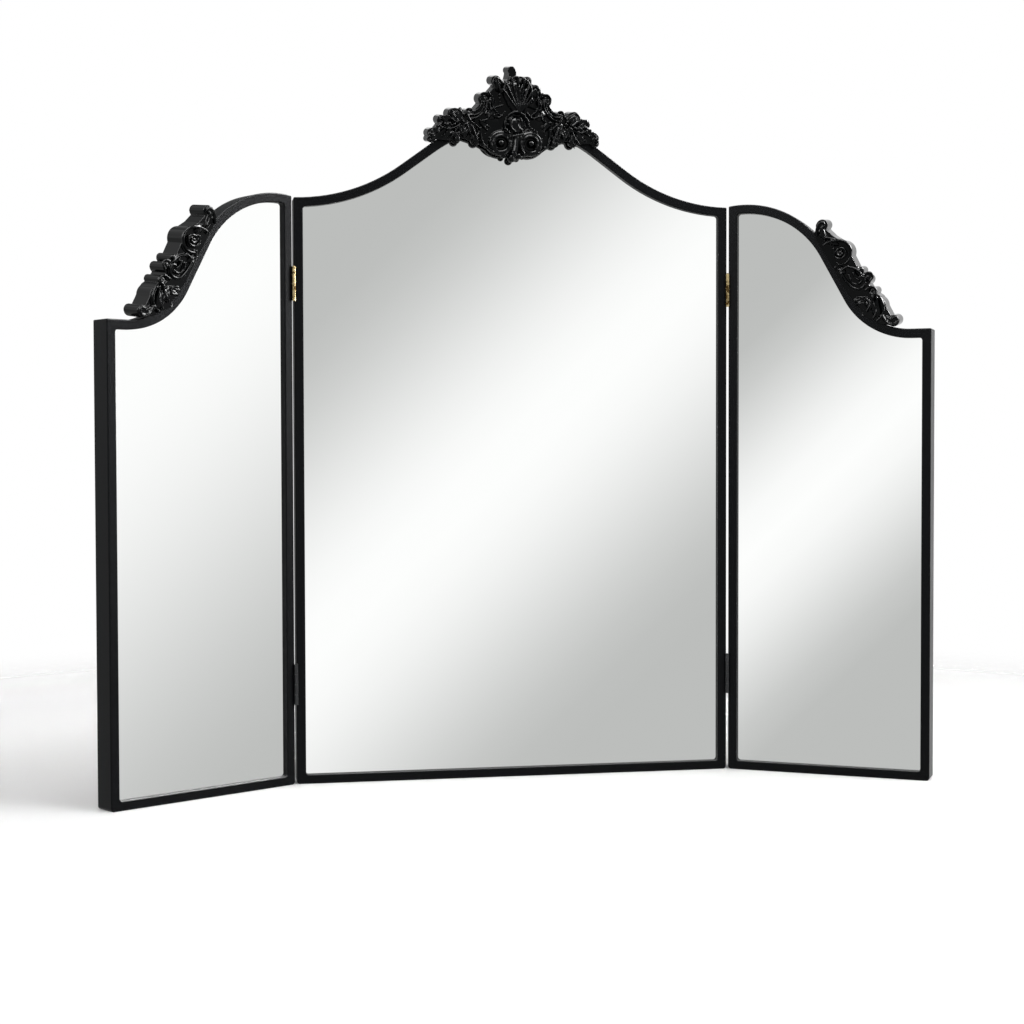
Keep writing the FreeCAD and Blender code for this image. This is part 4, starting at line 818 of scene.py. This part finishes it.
for number, (where, colour) in enumerate(BAND_STOPS):
    share = (where - BAND_START) / (BAND_END - BAND_START)
    element = elements[number] if number < 2 else elements.new(share)
    element.position = share
    element.color = colour
bands = add_node(tree, "ShaderNodeBackground", {"Color": wall.outputs["Color"], "Strength": 1.0})
print(len(BAND_STOPS), "stops in the bands")

# %% [markdown]
# ## Softboxes in the gloss
# Black lacquer is seen mostly by what it reflects. Three bright softboxes give every bead of the
# mouldings its thin highlight, and a dim one behind the left wing lifts the side walls of its
# moulding. From the camera they stay out of the glasses, because they hang high. Light that has met a
# matt surface doesn't find them, so they light nothing else.

# %% Softboxes in the gloss
# Each is its azimuth, rise, half width and half height in degrees, and its strength.
PANELS = [(92, 38, 13, 12, 80.0), (-12, 64, 40, 10, 24.0), (-88, 34, 12, 12, 16.0),
          (-126, 28, 18, 14, 0.5)]
PANEL_EDGE = radians(8)
glow = 0.0
for azimuth, rise, half_width, half_height, strength in PANELS:
    lit_part = strength
    for angle, middle, half in ((around, azimuth, half_width), (height, rise, half_height)):
        aside = add_node(tree, "ShaderNodeMath", {0: angle.outputs[0], 1: radians(middle)},
                         operation="SUBTRACT")
        off = add_node(tree, "ShaderNodeMath", {0: aside.outputs[0]}, operation="ABSOLUTE")
        inside = add_node(tree, "ShaderNodeMapRange",
                          {"Value": off.outputs[0], "From Min": radians(half),
                           "From Max": radians(half) + PANEL_EDGE, "To Min": 1.0, "To Max": 0.0},
                          interpolation_type="SMOOTHSTEP")
        lit_part = add_node(tree, "ShaderNodeMath", {0: lit_part, 1: inside.outputs["Result"]},
                            operation="MULTIPLY").outputs[0]
    glow = add_node(tree, "ShaderNodeMath", {0: glow, 1: lit_part}, operation="ADD").outputs[0]
rays = add_node(tree, "ShaderNodeLightPath", {})
unscattered = add_node(tree, "ShaderNodeMath", {0: rays.outputs["Diffuse Depth"], 1: 0.5},
                       operation="LESS_THAN")
glow = add_node(tree, "ShaderNodeMath", {0: glow, 1: unscattered.outputs[0]}, operation="MULTIPLY")
panels = add_node(tree, "ShaderNodeBackground", {"Color": (1, 1, 1, 1), "Strength": glow.outputs[0]})
studio = add_node(tree, "ShaderNodeAddShader", {0: bands.outputs[0], 1: panels.outputs[0]})
print(len(PANELS), "softboxes")

# %% [markdown]
# ## Which ray sees what
# One world serves three kinds of ray. The camera sees plain white, rays that leave a glossy or clear
# surface see the studio with its softboxes, and all others find a soft even light.

# %% Which ray sees what
SOFT_LIGHT = 0.55
seen = add_node(tree, "ShaderNodeBackground", {"Color": (1, 1, 1, 1), "Strength": 1.0})
soft = add_node(tree, "ShaderNodeBackground", {"Color": (0.98, 0.99, 1, 1), "Strength": SOFT_LIGHT})
shiny = add_node(tree, "ShaderNodeMath",
                 {0: rays.outputs["Is Glossy Ray"], 1: rays.outputs["Is Transmission Ray"]},
                 operation="MAXIMUM")
lit = add_node(tree, "ShaderNodeMixShader",
               {0: shiny.outputs[0], 1: soft.outputs[0], 2: studio.outputs[0]})
shown = add_node(tree, "ShaderNodeMixShader",
                 {0: rays.outputs["Is Camera Ray"], 1: lit.outputs[0], 2: seen.outputs[0]})
add_node(tree, "ShaderNodeOutputWorld", {"Surface": shown.outputs[0]})
print("world ready")

# %% [markdown]
# ## Lamps
# Four square area lamps of much the same power stand round the front and sides. Each is given by its
# place and size in metres and its power in watts, and looks at the middle of the mirror.

# %% Lamps
LAMPS = {"left_softbox": ((-1.9, -1.9, 1.9), 0.5, 14.0),
         "right_softbox": ((2.0, -1.6, 1.7), 0.5, 16.0),
         "top_softbox": ((0.3, -0.9, 2.4), 0.5, 14.0),
         "side_strip": ((2.05, -0.5, 0.7), 0.45, 15.0)}
LOOK_AT = Vector((0, 0, 0.45))
for name, (spot, size, power) in LAMPS.items():
    lamp = bpy.data.objects.new(name, bpy.data.lights.new(name, "AREA"))
    lamp.data.shape = "SQUARE"
    lamp.data.size = size
    lamp.data.energy = power
    lamp.location = spot
    lamp.rotation_euler = (LOOK_AT - lamp.location).to_track_quat("-Z", "Y").to_euler()
    bpy.context.scene.collection.objects.link(lamp)
bpy.context.scene.view_settings.view_transform = "Standard"
print(len(LAMPS), "lamps")
